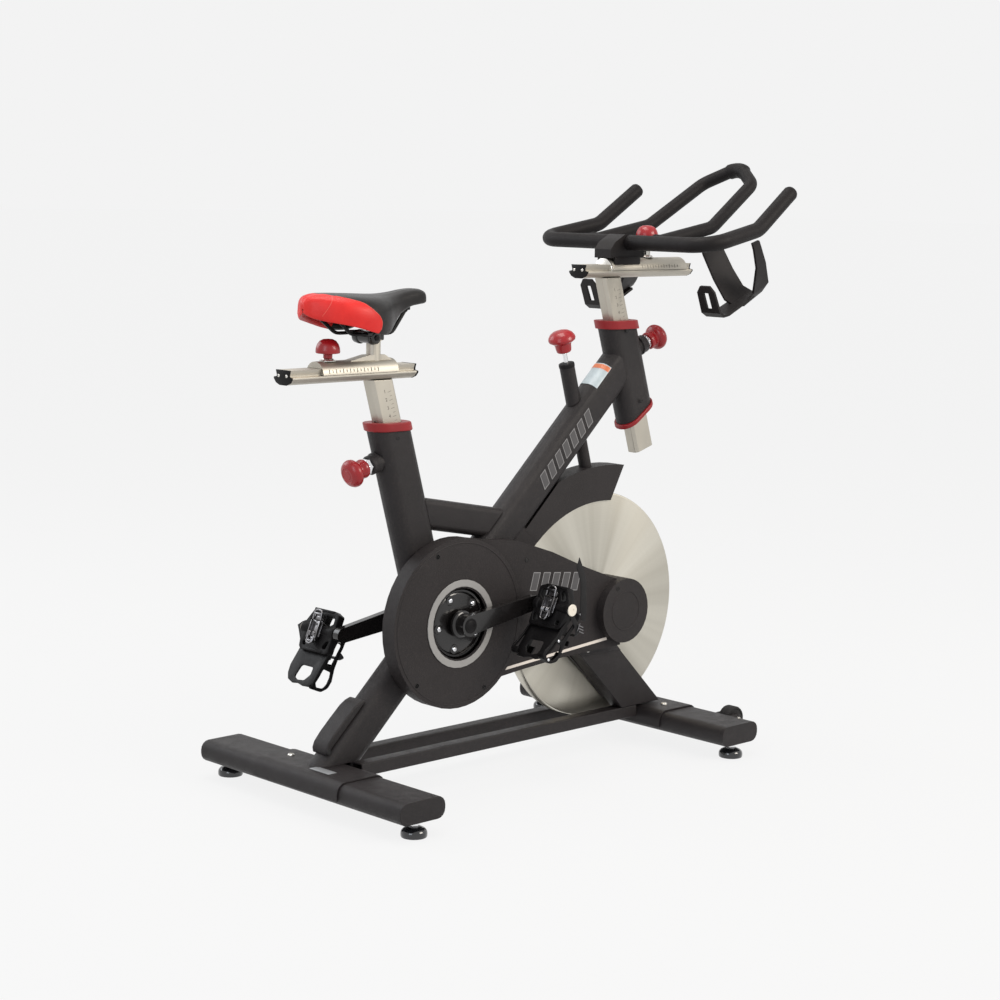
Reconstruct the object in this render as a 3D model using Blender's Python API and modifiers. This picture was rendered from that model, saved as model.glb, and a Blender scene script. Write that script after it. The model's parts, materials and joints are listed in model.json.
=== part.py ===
# Indoor cycling bike: welded frame, belt-driven flywheel, sliding seat and
# handlebar posts.  Blender 4.5, metres, +Z up.
# +X points to the front of the bike, +Y to the rider's left.  The origin is on
# the floor under the middle of the machine.
import bpy
import bmesh
import math
from mathutils import Vector, Matrix

MM = 0.001
GAP = 0.35                      # clearance kept between neighbouring pieces

# ---------------------------------------------------------------- dimensions
X_MID = 521.55                  # rear stabilizer to the middle of the bike
X_FRONT = 835.0                 # rear stabilizer to front stabilizer
STAB_HALF = 285.0               # half length of a stabilizer
STAB_W, STAB_Z0, STAB_Z1 = 52.0, 30.0, 70.0
FOOT_Y = 262.0
FOOT_R = 23.5
RAIL_Y0, RAIL_Y1 = 28.5, 57.0
RAIL_Z0, RAIL_Z1 = 51.5, 76.5
SLEEVE_Y = 120.0
SLEEVE_T = 3.0
MAIN_W, MAIN_D, MAIN_R = 75.0, 50.0, 20.0
TUBE_W, TUBE_D, TUBE_R = 84.0, 52.0, 24.0     # seat tube and head tube
POST_W, POST_D, POST_R = 52.0, 30.0, 6.0
WALL = 3.0
CRANK = (287.0, 306.0)          # crank centre X, Z
CRANK_L = 170.0
CRANK_ANG = 7.9                 # right crank above the horizontal, degrees
PEDAL_Y = 82.0                  # middle of the crank arm
AXLE = (694.0, 287.0)           # flywheel centre X, Z
WHEEL_R = 225.0
WHEEL_T = 14.5                  # half thickness of the flywheel rim
DRUM_R = 160.0
NOSE_R = 64.0
BELT_Y0, BELT_Y1 = -50.0, -36.0


def main_line(z):               # centre line of the main tube
    return 613.4 + (z - 623.1) / 0.955


def seat_line(z):               # centre line of the seat tube and its post
    return 133.3 + 0.287 * (762.0 - z)


def head_line(z):               # centre line of the head tube and its post
    return 727.3 + 0.311 * (931.0 - z)


# ---------------------------------------------------------------- collections
for ob in list(bpy.data.objects):
    bpy.data.objects.remove(ob, do_unlink=True)

BIKE = bpy.data.collections.new("indoor_cycle")
bpy.context.scene.collection.children.link(BIKE)
CUTTERS = bpy.data.collections.new("cutters")
bpy.context.scene.collection.children.link(CUTTERS)

MATS = {}


def material(name, rgb, rough, metal):
    m = bpy.data.materials.new(name)
    m.use_nodes = True
    b = m.node_tree.nodes["Principled BSDF"]
    b.inputs["Base Color"].default_value = (rgb[0], rgb[1], rgb[2], 1.0)
    b.inputs["Roughness"].default_value = rough
    b.inputs["Metallic"].default_value = metal
    m.diffuse_color = (rgb[0], rgb[1], rgb[2], 1.0)
    MATS[name] = m


material("powder_coat", (0.035, 0.031, 0.031), 0.55, 0.0)
material("matte_plastic", (0.042, 0.038, 0.037), 0.6, 0.0)
material("gloss_black", (0.012, 0.012, 0.013), 0.2, 0.0)
material("red_plastic", (0.40, 0.018, 0.022), 0.4, 0.0)
material("aluminium", (0.62, 0.60, 0.54), 0.35, 0.9)
material("steel", (0.55, 0.53, 0.49), 0.3, 1.0)
material("chrome", (0.75, 0.75, 0.76), 0.12, 1.0)
material("foam_grip", (0.03, 0.025, 0.025), 0.7, 0.0)
material("red_vinyl", (0.62, 0.03, 0.025), 0.45, 0.0)
material("rubber", (0.02, 0.02, 0.02), 0.8, 0.0)
material("silver_trim", (0.5, 0.5, 0.49), 0.35, 0.8)


# ---------------------------------------------------------------- helpers
def P(x, y, z):
    """Bike coordinates in millimetres to scene metres."""
    return Vector(((x - X_MID) * MM, y * MM, z * MM))


def place(ob, mat, cutter=False):
    (CUTTERS if cutter else BIKE).objects.link(ob)
    if cutter:
        ob.hide_render = True
        ob.display_type = 'WIRE'
    elif mat:
        ob.data.materials.clear()
        ob.data.materials.append(MATS[mat])
    return ob


def tidy(me, smooth=True):
    """Weld, face outward and shade a finished mesh."""
    bm = bmesh.new()
    bm.from_mesh(me)
    bmesh.ops.remove_doubles(bm, verts=bm.verts, dist=2e-6)
    bmesh.ops.recalc_face_normals(bm, faces=bm.faces)
    if bm.calc_volume(signed=True) < 0:
        bmesh.ops.reverse_faces(bm, faces=bm.faces)
    bm.to_mesh(me)
    bm.free()
    if smooth:
        me.shade_smooth()
        me.set_sharp_from_angle(angle=math.radians(35))
    return me


def evaluated_mesh(ob):
    dg = bpy.context.evaluated_depsgraph_get()
    dg.update()
    me = bpy.data.meshes.new_from_object(ob.evaluated_get(dg))
    return me


def bake(ob, name, mat, cutter=False):
    """Turn a curve or a modified mesh into a plain mesh object."""
    bpy.context.view_layer.update()
    me = evaluated_mesh(ob)
    me.transform(ob.matrix_world)
    old = ob.data
    bpy.data.objects.remove(ob, do_unlink=True)
    if isinstance(old, bpy.types.Curve):
        bpy.data.curves.remove(old)
    tidy(me)
    me.name = name
    new = bpy.data.objects.new(name, me)
    return place(new, mat, cutter)


def flat_curve(splines, half):
    cu = bpy.data.curves.new("outline", 'CURVE')
    cu.dimensions = '2D'
    cu.fill_mode = 'BOTH'
    cu.extrude = half * MM
    for pts in splines:
        sp = cu.splines.new('POLY')
        sp.points.add(len(pts) - 1)
        for i, (x, y) in enumerate(pts):
            sp.points[i].co = (x * MM, y * MM, 0.0, 1.0)
        sp.use_cyclic_u = True
    ob = bpy.data.objects.new("outline", cu)
    BIKE.objects.link(ob)
    return ob


def round_rect(w, h, r, n=3):
    """Outline of a rectangle w by h with corner radius r."""
    pts = []
    for cx, cy, a0 in ((w/2-r, h/2-r, 0), (-w/2+r, h/2-r, 90),
                       (-w/2+r, -h/2+r, 180), (w/2-r, -h/2+r, 270)):
        for k in range(n + 1):
            a = math.radians(a0 + 90.0 * k / n)
            pts.append((cx + r * math.cos(a), cy + r * math.sin(a)))
    out = []
    for p in pts:
        if not out or math.dist(p, out[-1]) > 1e-3:
            out.append(p)
    if math.dist(out[0], out[-1]) < 1e-3:
        out.pop()
    return out


def circle(cx, cy, r, n=32, a0=0.0, a1=360.0):
    full = abs(a1 - a0) >= 359.9
    m = n if full else n + 1
    return [(cx + r * math.cos(math.radians(a0 + (a1 - a0) * k / n)),
             cy + r * math.sin(math.radians(a0 + (a1 - a0) * k / n)))
            for k in range(m)]


def prism_y(name, outline, y0, y1, mat, holes=(), cutter=False):
    """An X-Z outline (bike millimetres) pushed along Y from y0 to y1."""
    ob = flat_curve([outline] + list(holes), abs(y1 - y0) / 2)
    ob.matrix_world = (Matrix.Translation(P(0, (y0 + y1) / 2, 0)) @
                       Matrix.Rotation(math.radians(90), 4, 'X'))
    return bake(ob, name, mat, cutter)


def prism_x(name, outline, x0, x1, mat, holes=(), cutter=False):
    """A Y-Z outline pushed along X from x0 to x1."""
    ob = flat_curve([outline] + list(holes), abs(x1 - x0) / 2)
    rot = Matrix(((0, 0, 1), (1, 0, 0), (0, 1, 0))).to_4x4()
    ob.matrix_world = Matrix.Translation(P((x0 + x1) / 2, 0, 0)) @ rot
    return bake(ob, name, mat, cutter)


def box(name, x0, x1, y0, y1, z0, z1, mat=None, cutter=False, bevel=0.0):
    bm = bmesh.new()
    bmesh.ops.create_cube(bm, size=1.0)
    me = bpy.data.meshes.new(name)
    bm.to_mesh(me)
    bm.free()
    me.transform(Matrix.Diagonal(((x1-x0)*MM, (y1-y0)*MM, (z1-z0)*MM, 1.0)))
    ob = bpy.data.objects.new(name, me)
    ob.matrix_world = Matrix.Translation(P((x0+x1)/2, (y0+y1)/2, (z0+z1)/2))
    BIKE.objects.link(ob)
    if bevel > 0:
        bv = ob.modifiers.new("round", 'BEVEL')
        bv.width = bevel * MM
        bv.segments = 2
    return bake(ob, name, mat, cutter)


def frame_along(p0, p1):
    """Matrix whose Z runs from p0 to p1, whose Y is the bike's Y."""
    a = (p1 - p0).normalized()
    v = Vector((0, 1, 0))
    u = v.cross(a).normalized()
    v = a.cross(u).normalized()
    m = Matrix((u, v, a)).transposed().to_4x4()
    return Matrix.Translation((p0 + p1) / 2) @ m, a


def section_tube(name, p0, p1, w, d, r, mat, wall=WALL, cutter=False, n=3,
                 cut0=None, cut1=None):
    """Straight tube of rounded-rectangle section lying in the X-Z plane.
    cut0 and cut1 are planes (point, normal) that mitre its two ends."""
    a0, a1 = P(*p0), P(*p1)
    splines = [round_rect(w, d, r, n)]
    if wall:
        splines.append(round_rect(w - 2*wall, d - 2*wall,
                                  max(r - wall, 1.0), n))
    ob = flat_curve(splines, (a1 - a0).length / 2 / MM)
    mw, axis = frame_along(a0, a1)
    ob.matrix_world = mw
    ob = bake(ob, name, mat, cutter)
    for plane, end in ((cut0, a0), (cut1, a1)):
        if plane is None:
            continue
        q, nrm = P(*plane[0]), Vector(plane[1]).normalized()
        for v in ob.data.vertices:
            if abs((v.co - end).dot(axis)) < 1e-5:
                v.co += axis * ((q - v.co).dot(nrm) / axis.dot(nrm))
    return ob


def rod(name, p0, p1, r, mat, n=16, cutter=False, r1=None):
    """Solid cylinder or cone between two points."""
    a0, a1 = P(*p0), P(*p1)
    bm = bmesh.new()
    bmesh.ops.create_cone(bm, cap_ends=True, segments=n, radius1=r*MM,
                          radius2=(r if r1 is None else r1)*MM,
                          depth=(a1 - a0).length)
    me = bpy.data.meshes.new(name)
    bm.to_mesh(me)
    bm.free()
    d = (a1 - a0).normalized()
    me.transform(Matrix.Translation((a0 + a1) / 2) @
                 d.to_track_quat('Z', 'Y').to_matrix().to_4x4())
    tidy(me)
    ob = bpy.data.objects.new(name, me)
    return place(ob, mat, cutter)


def turned(name, profile, origin, axis, mat, steps=24, ring=False,
           cutter=False):
    """Turned shape: (radius, height) pairs from the top, down the outside."""
    me = bpy.data.meshes.new(name)
    n = len(profile)
    edges = [(i, i + 1) for i in range(n - 1)]
    if ring:
        edges.append((n - 1, 0))
    me.from_pydata([(r*MM, 0.0, z*MM) for r, z in profile], edges, [])
    ob = bpy.data.objects.new(name, me)
    BIKE.objects.link(ob)
    sc = ob.modifiers.new("turn", 'SCREW')
    sc.axis = 'Z'
    sc.angle = 2 * math.pi
    sc.steps = steps
    sc.render_steps = steps
    sc.use_merge_vertices = True
    sc.merge_threshold = 1e-5
    d = Vector(axis).normalized()
    ob.matrix_world = (Matrix.Translation(P(*origin)) @
                       d.to_track_quat('Z', 'Y').to_matrix().to_4x4())
    return bake(ob, name, mat, cutter)


def fillet(points, radii, n=4):
    """Round the inner corners of a polyline of 3-D points."""
    pts = [Vector(p) for p in points]
    out = [pts[0]]
    for i in range(1, len(pts) - 1):
        a, b, c = pts[i-1], pts[i], pts[i+1]
        u, v = (a - b).normalized(), (c - b).normalized()
        ang = math.acos(max(-1.0, min(1.0, u.dot(v))))
        r = radii[i-1] if isinstance(radii, (list, tuple)) else radii
        t = r / math.tan(ang / 2)
        cen = b + (u + v).normalized() * (r / math.sin(ang / 2))
        s, e = b + u * t, b + v * t
        q = (s - cen).rotation_difference(e - cen)
        for k in range(n + 1):
            step = q.copy()
            step = Matrix.Identity(3).to_quaternion().slerp(q, k / n)
            out.append(cen + step @ (s - cen))
    out.append(pts[-1])
    return out


def wire_tube(name, points, r, mat, res=2, cyclic=False, cutter=False):
    """Round tube along a list of 3-D points in bike millimetres."""
    cu = bpy.data.curves.new(name, 'CURVE')
    cu.dimensions = '3D'
    cu.bevel_depth = r * MM
    cu.bevel_resolution = res
    cu.use_fill_caps = True
    cu.resolution_u = 1
    sp = cu.splines.new('POLY')
    sp.points.add(len(points) - 1)
    for i, p in enumerate(points):
        q = P(*p)
        sp.points[i].co = (q.x, q.y, q.z, 1.0)
    sp.use_cyclic_u = cyclic
    ob = bpy.data.objects.new(name, cu)
    BIKE.objects.link(ob)
    return bake(ob, name, mat, cutter)


def boolean(ob, tool, op='DIFFERENCE'):
    """Apply one exact Boolean and take the tool away."""
    md = ob.modifiers.new("bool", 'BOOLEAN')
    md.operation = op
    md.solver = 'EXACT'
    md.object = tool
    bpy.context.view_layer.update()
    me = evaluated_mesh(ob)
    name = ob.name
    mats = [m for m in ob.data.materials]
    old = ob.data
    ob.modifiers.clear()
    tidy(me)
    ob.data = me
    me.name = name
    if not me.materials:
        for m in mats:
            me.materials.append(m)
    bpy.data.meshes.remove(old)
    bpy.data.objects.remove(tool, do_unlink=True)
    return ob


def cut(ob, *tools):
    for t in tools:
        boolean(ob, t, 'DIFFERENCE')
    return ob


def join(ob, *tools):
    for t in tools:
        boolean(ob, t, 'UNION')
    return ob


def mirrored(ob, name, mat):
    """The same piece on the other side of the bike's middle plane."""
    me = ob.data.copy()
    me.transform(Matrix.Diagonal((1, -1, 1, 1)))
    me.flip_normals()
    me.name = name
    return place(bpy.data.objects.new(name, me), mat)


def turned_about(ob, name, mat, cx, cz, deg):
    """Copy turned about a Y axis through (cx, cz)."""
    me = ob.data.copy()
    c = P(cx, 0, cz)
    me.transform(Matrix.Translation(c) @
                 Matrix.Rotation(math.radians(deg), 4, 'Y') @
                 Matrix.Translation(-c))
    me.name = name
    return place(bpy.data.objects.new(name, me), mat)


def strap(points, t):
    """Outline of a flat strip of thickness t along X-Z points."""
    pts = [Vector((p[0], p[1])) for p in points]
    left, right = [], []
    for i, p in enumerate(pts):
        if i == 0:
            d = pts[1] - p
        elif i == len(pts) - 1:
            d = p - pts[i-1]
        else:
            d = (pts[i+1] - p).normalized() + (p - pts[i-1]).normalized()
        d.normalize()
        nrm = Vector((-d.y, d.x))
        k = 1.0
        if 0 < i < len(pts) - 1:
            e = (pts[i+1] - p).normalized()
            k = 1.0 / max(0.5, abs(Vector((-e.y, e.x)).dot(nrm)))
        left.append(p + nrm * t / 2 * k)
        right.append(p - nrm * t / 2 * k)
    return [tuple(q) for q in left] + [tuple(q) for q in reversed(right)]


# ---------------------------------------------------------------- base frame
def stabilizer(name, xc):
    w, h = 2 * STAB_W, STAB_Z1 - STAB_Z0
    zc = (STAB_Z0 + STAB_Z1) / 2
    shape = [(xc + x, zc + z) for x, z in round_rect(w, h, 17, 4)]
    inner = [(xc + x, zc + z) for x, z in round_rect(w-6, h-6, 14, 4)]
    ob = prism_y(name, shape, -STAB_HALF, STAB_HALF, "powder_coat")
    hollow = prism_y("hollow", inner, -STAB_HALF + 3, STAB_HALF - 3, None,
                     cutter=True)
    drain = rod("drain", (xc, 0, STAB_Z0 - 5), (xc, 0, STAB_Z0 + 8), 5, None,
                n=12, cutter=True)
    return cut(ob, join(hollow, drain))


def sleeve(name, xc):
    a, b = STAB_W + GAP, STAB_W + GAP + SLEEVE_T
    zt = STAB_Z1 + GAP
    zc = (STAB_Z0 + STAB_Z1) / 2
    outer = ([(xc + b, 40)] +
             [(xc + b - 20 + x, zt + SLEEVE_T - 20 + z)
              for x, z in circle(0, 0, 20, 4, 0, 90)] +
             [(xc - b + 20 + x, zt + SLEEVE_T - 20 + z)
              for x, z in circle(0, 0, 20, 4, 90, 180)] + [(xc - b, 40)])
    inner = ([(xc - a, 40)] +
             [(xc - a + 16 + x, zt - 16 + z)
              for x, z in circle(0, 0, 16, 4, 180, 90)] +
             [(xc + a - 16 + x, zt - 16 + z)
              for x, z in circle(0, 0, 16, 4, 90, 0)] + [(xc + a, 40)])
    return prism_y(name, outer + inner, -SLEEVE_Y, SLEEVE_Y, "powder_coat")


stabilizer("rear_stabilizer", 0.0)
stabilizer("front_stabilizer", X_FRONT)
sleeve("rear_sleeve", 0.0)
sleeve("front_sleeve", X_FRONT)
SLEEVE_X = STAB_W + GAP + SLEEVE_T          # half width over a sleeve
SLEEVE_TOP = STAB_Z1 + GAP + SLEEVE_T

rail = [((RAIL_Y0 + RAIL_Y1) / 2 + y, (RAIL_Z0 + RAIL_Z1) / 2 + z)
        for y, z in round_rect(RAIL_Y1 - RAIL_Y0, RAIL_Z1 - RAIL_Z0, 4, 2)]
bore = [((RAIL_Y0 + RAIL_Y1) / 2 + y, (RAIL_Z0 + RAIL_Z1) / 2 + z)
        for y, z in round_rect(RAIL_Y1 - RAIL_Y0 - 5, RAIL_Z1 - RAIL_Z0 - 5,
                               1.5, 2)]
r_left = prism_x("base_rail_left", rail, SLEEVE_X + GAP,
                 X_FRONT - SLEEVE_X - GAP, "powder_coat", holes=[bore])
mirrored(r_left, "base_rail_right", "powder_coat")


def foot(name, xc, yc):
    prof = [(0, 29.6), (6, 29.6), (6, 24), (16, 21), (22, 14),
            (FOOT_R, 7), (21.5, 0), (0, 0)]
    return turned(name, prof, (xc, yc, 0), (0, 0, 1), "gloss_black", steps=16)


for fname, fx, fy in (("foot_rear_right", 0, -FOOT_Y),
                      ("foot_rear_left", 0, FOOT_Y),
                      ("foot_front_right", X_FRONT, -FOOT_Y),
                      ("foot_front_left", X_FRONT, FOOT_Y)):
    foot(fname, fx, fy)


# ------------------------------------------------------------- frame tubes
def main_solid(extra, y_extra=0.0, name="main_cut"):
    return section_tube(name, (main_line(20), 0, 20),
                        (main_line(850), 0, 850), MAIN_W + 2*extra,
                        MAIN_D + 2*(extra + y_extra), MAIN_R, None, wall=0,
                        cutter=True)


def seat_solid(extra):
    return section_tube("seat_cut", (seat_line(250), 0, 250),
                        (seat_line(690), 0, 690), TUBE_W + 2*extra,
                        TUBE_D + 2*extra, TUBE_R + extra, None, wall=0,
                        cutter=True, n=5)


def head_solid(extra):
    return section_tube("head_cut", (head_line(560), 0, 560),
                        (head_line(900), 0, 900), TUBE_W + 2*extra,
                        TUBE_D + 2*extra, TUBE_R + extra, None, wall=0,
                        cutter=True, n=5)


SEAT_AXIS = Vector((-0.287, 0, 1)).normalized()
HEAD_AXIS = Vector((-0.311, 0, 1)).normalized()
MAIN_AXIS = Vector((1, 0, 0.955)).normalized()

SEAT_TOP_Z = 669.5
HEAD_TOP_Z = 834.5
HEAD_CUT = ((head_line(667), 0, 667), (-0.574, 0, 0.819))
LEVEL = (0, 0, 1)

main_tube = section_tube("main_tube", (main_line(45), 0, 45),
                         (main_line(768), 0, 768), MAIN_W, MAIN_D, MAIN_R,
                         "powder_coat",
                         cut0=((0, 0, 53.0), (0, 0, 1)))
cut(main_tube, head_solid(GAP),
    box("notch", -90, SLEEVE_X + GAP, -60, 60, 0, SLEEVE_TOP + GAP,
        cutter=True),
    rod("bb_hole", (CRANK[0], -60, CRANK[1]), (CRANK[0], 60, CRANK[1]),
        25 + GAP, None, n=32, cutter=True))

seat_tube = section_tube("seat_tube", (seat_line(288), 0, 288),
                         (seat_line(SEAT_TOP_Z), 0, SEAT_TOP_Z), TUBE_W,
                         TUBE_D, TUBE_R, "powder_coat", n=5,
                         cut1=((0, 0, SEAT_TOP_Z), LEVEL))
cut(seat_tube, main_solid(GAP, 6.0))

head_tube = section_tube("head_tube", (head_line(640), 0, 640),
                         (head_line(HEAD_TOP_Z), 0, HEAD_TOP_Z), TUBE_W,
                         TUBE_D, TUBE_R, "powder_coat", n=5, cut0=HEAD_CUT,
                         cut1=((0, 0, HEAD_TOP_Z), LEVEL))

bridge = section_tube("bridge_tube", (196, 0, 519), (470, 0, 467), 58, 42,
                      12, "powder_coat")
cut(bridge, seat_solid(GAP), main_solid(GAP, 6.0))


def along(line, z, off):
    """Point beside a tube's centre line, off millimetres towards +X."""
    return (line(z) + off, 0, z)


# boss of the seat height pin, on the rear of the seat tube
PIN_Z = 637.0
seat_pin_dir = Vector((-0.961, 0, -0.276))
pin_base = Vector((seat_line(PIN_Z - 12), 0, PIN_Z - 12))
boss = rod("boss", tuple(pin_base + seat_pin_dir * 34),
           tuple(pin_base + seat_pin_dir * 52), 17, None, n=20, cutter=True)
join(seat_tube, boss)
cut(seat_tube, rod("pin_bore", tuple(pin_base + seat_pin_dir * 20),
                   tuple(pin_base + seat_pin_dir * 60), 8.4, None, n=16,
                   cutter=True))

# boss of the handlebar height pin, on the front of the head tube
HPIN_Z = 783.0
bar_pin_dir = Vector((0.955, 0, 0.297))
hpin_base = Vector((head_line(HPIN_Z), 0, HPIN_Z))
boss = rod("boss", tuple(hpin_base + bar_pin_dir * 34),
           tuple(hpin_base + bar_pin_dir * 52), 17, None, n=20, cutter=True)
join(head_tube, boss)
cut(head_tube, rod("pin_bore", tuple(hpin_base + bar_pin_dir * 20),
                   tuple(hpin_base + bar_pin_dir * 60), 8.4, None, n=16,
                   cutter=True))


def collar(name, line, axis, z0, h, w, d, cut0=None, cut1=None, hole=None):
    p0 = (line(z0), 0, z0)
    z1 = z0 + h
    hw, hd = hole or (POST_W + 2*GAP, POST_D + 2*GAP)
    a0, a1 = P(*p0), P(line(z1), 0, z1)
    ob = flat_curve([round_rect(w, d, min(w, d)/2 - 2, 5),
                     round_rect(hw, hd, POST_R if hole is None else 20, 2)],
                    (a1 - a0).length / 2 / MM)
    mw, ax = frame_along(a0, a1)
    ob.matrix_world = mw
    ob = bake(ob, name, "red_plastic")
    for plane, end in ((cut0, a0), (cut1, a1)):
        if plane is None:
            continue
        q, nrm = P(*plane[0]), Vector(plane[1]).normalized()
        for v in ob.data.vertices:
            if abs((v.co - end).dot(ax)) < 1e-5:
                v.co += ax * ((q - v.co).dot(nrm) / ax.dot(nrm))
    return ob


collar("seat_tube_collar", seat_line, SEAT_AXIS, SEAT_TOP_Z + GAP, 16, 92, 62,
       cut0=((0, 0, SEAT_TOP_Z + GAP), LEVEL),
       cut1=((0, 0, SEAT_TOP_Z + 16.5), LEVEL))
collar("head_collar_top", head_line, HEAD_AXIS, HEAD_TOP_Z + GAP, 17, 94, 62,
       cut0=((0, 0, HEAD_TOP_Z + GAP), LEVEL),
       cut1=((0, 0, HEAD_TOP_Z + 17), LEVEL))
# slanted trim ring closing the lower end of the head tube
n_cut = Vector(HEAD_CUT[1])
below = Vector(HEAD_CUT[0]) - n_cut * 0.4
lower = Vector(HEAD_CUT[0]) - n_cut * 8.5
collar("head_collar_bottom", head_line, HEAD_AXIS, 640, 20, 92, 59,
       cut0=(tuple(lower), HEAD_CUT[1]), cut1=(tuple(below), HEAD_CUT[1]))

# rounded cover on the rear of the main tube's foot
n_up = Vector((-MAIN_AXIS.z, 0, MAIN_AXIS.x))


def beside_main(s, off):
    """Point s mm up the main tube from its foot, off mm above its middle."""
    z = 76.0 + s * MAIN_AXIS.z
    q = Vector((main_line(76.0) + s * MAIN_AXIS.x, 0, z)) + n_up * off
    return (q.x, q.z)


e = MAIN_W / 2 + GAP
boot = [(112, e), (108, 6 + e), (98, 11 + e), (84, 14 + e), (50, 15 + e),
        (20, 15 + e), (0, 13 + e), (-10, 8 + e), (-16, e)]
prism_y("rear_gusset", [beside_main(q, o) for q, o in boot], -21, 21,
        "powder_coat")

# ---------------------------------------------------- fork legs and dropouts
leg_dir = Vector((-1, 0, 1)).normalized()
leg_mid = Vector((791, 0, 76))
leg_n = Vector((1, 0, 1)).normalized()
FRONT_TOP = SLEEVE_TOP + GAP


def leg_pt(s, off):
    q = leg_mid + leg_dir * s + leg_n * off
    return (q.x, q.z)


LEG_W = 78.0
LEG_Y0, LEG_Y1 = 25.4, 60.0
leg_top = 203.0
zf = max(RAIL_Z1, SLEEVE_TOP) + GAP


def leg_at(off, z):
    s = (z - leg_mid.z - leg_n.z * off) / leg_dir.z
    return leg_pt(s, off)


leg_outline = [leg_at(39, zf), leg_at(39, leg_top), leg_at(-39, leg_top),
               leg_at(-39, zf)]
leg_inner = [leg_at(36, zf - 5), leg_at(36, leg_top - 3),
             leg_at(-36, leg_top - 3), leg_at(-36, zf - 5)]
leg_l = prism_y("fork_leg_left", leg_outline, LEG_Y0, LEG_Y1, "powder_coat")
cut(leg_l, prism_y("hollow", leg_inner, LEG_Y0 + 3, LEG_Y1 - 3, None,
                   cutter=True))
mirrored(leg_l, "fork_leg_right", "powder_coat")

PL_Y0, PL_Y1 = 17.6, 25.0
a_up = leg_at(-39, 150)
plate = ([leg_at(39, 95), leg_at(39, 196)] +
         circle(AXLE[0], AXLE[1], 26, 6, -70, 95) +
         [(610, 322), (540, 395), (462, 437), (412, 392), (395, 372),
          (470, 330), a_up, leg_at(-39, 95)])
pl_l = prism_y("fork_plate_left", plate, PL_Y0, PL_Y1, "powder_coat",
               holes=[circle(AXLE[0], AXLE[1], 8.4, 20)])
cut(pl_l, main_solid(GAP, 6.0))
mirrored(pl_l, "fork_plate_right", "powder_coat")

# ------------------------------------------------------------- bottom bracket
turned("bottom_bracket_shell",
       [(25, 34), (25, -34), (20.2, -34), (20.2, -24), (14, -24), (14, 24),
        (20.2, 24), (20.2, 34)],
       (CRANK[0], 0, CRANK[1]), (0, 1, 0), "powder_coat", steps=20, ring=True)

# ------------------------------------------------------------- belt guard
GB = -29.0                      # back rim of the cover


def slant(x, base):
    return base - 0.1 * (x - 420.0)


def guard_body(name, inset, y_back, base, mat, cutter):
    cx, cz = 284.0, 306.0
    nx, nz = 697.0, 286.0
    top = [(cx + 10, cz + DRUM_R - inset), (380, 452 - inset),
           (438, 446 - inset), (520, 418 - inset), (605, 380 - inset),
           (680, 351 - inset), (nx, nz + NOSE_R - inset - 4)]
    bot = [(nx, nz - NOSE_R + inset - 7), (620, 211 + inset),
           (552, 207 + inset), (457, 196 + inset), (400, 188 + inset),
           (cx + 10, 190 + inset)]
    ob = prism_y(name, top + bot, y_back, -56, mat, cutter=cutter)
    for v in ob.data.vertices:
        if abs(v.co.y / MM + 56) < 0.01:
            v.co.y = slant(v.co.x / MM + X_MID, base) * MM
    return ob


guard = prism_y("belt_guard_outer", circle(284, 306, DRUM_R, 48), -22, -62,
                "matte_plastic")
join(guard, guard_body("body", 0.4, -20, -57.0, None, True),
     prism_y("nose", circle(697, 286, NOSE_R, 32), -18, -98, None,
             cutter=True))
hollow = prism_y("hollow", circle(284, 306, DRUM_R - 3, 48), -10, -59, None,
                 cutter=True)
join(hollow, guard_body("hollow2", 3.4, -11, -54.0, None, True),
     prism_y("hollow3", circle(697, 286, NOSE_R - 3, 32), -12, -95, None,
             cutter=True))
cut(guard, hollow,
    box("rim", 60, 800, GB, 0, 100, 500, cutter=True),
    prism_y("window", circle(CRANK[0], CRANK[1], 67, 32), -50, -70, None,
            cutter=True))
turned("guard_ring", [(83, 1.8), (83, 0), (70, 0), (70, 1.8)],
       (CRANK[0], -62 - GAP, CRANK[1]), (0, -1, 0), "silver_trim", steps=32,
       ring=True)

back = ([(284 + (DRUM_R - 3) * math.cos(math.radians(a)),
          306 + (DRUM_R - 3) * math.sin(math.radians(a)))
         for a in range(75, 286, 15)] +
        [(400, 192), (457, 199), (552, 210), (620, 214), (672, 226)] +
        circle(697, 286, NOSE_R - 3, 10, -90, 75) +
        [(680, 346), (605, 376), (520, 414), (438, 442), (380, 449)])
prism_y("belt_guard_inner", back, -26.4, -28.6, "matte_plastic",
        holes=[circle(CRANK[0], CRANK[1], 26, 32),
               circle(AXLE[0], AXLE[1], 16, 20)])

# ------------------------------------------------------------- crank and belt
axle_prof = [(0, 70), (9.7, 70), (9.7, -70), (0, -70)]
turned("crank_axle",
       [(0, 86), (9.6, 86), (9.6, 34), (13.6, 34), (13.6, -33.6),
        (9.6, -33.6), (9.6, -86), (0, -86)],
       (CRANK[0], 0, CRANK[1]), (0, 1, 0), "steel", steps=16)
PULLEY_R = 118.0
turned("crank_pulley",
       [(PULLEY_R, -36.3), (PULLEY_R, -49.7), (PULLEY_R - 8, -49.7),
        (PULLEY_R - 9, -45), (60, -45), (58, -52), (52, -55), (22, -55.5),
        (9.95, -55.5), (9.95, -38), (PULLEY_R - 9, -40.5),
        (PULLEY_R - 8, -36.3)],
       (CRANK[0], 0, CRANK[1]), (0, 1, 0), "gloss_black", steps=28, ring=True)
# belt: runs round both pulleys just clear of their rims
R1, R2 = PULLEY_R + GAP, 29.5 + GAP
dx, dz = AXLE[0] - CRANK[0], AXLE[1] - CRANK[1]
dist = math.hypot(dx, dz)
base_a = math.degrees(math.atan2(dz, dx))
beta = math.degrees(math.acos((R1 - R2) / dist))


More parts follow.
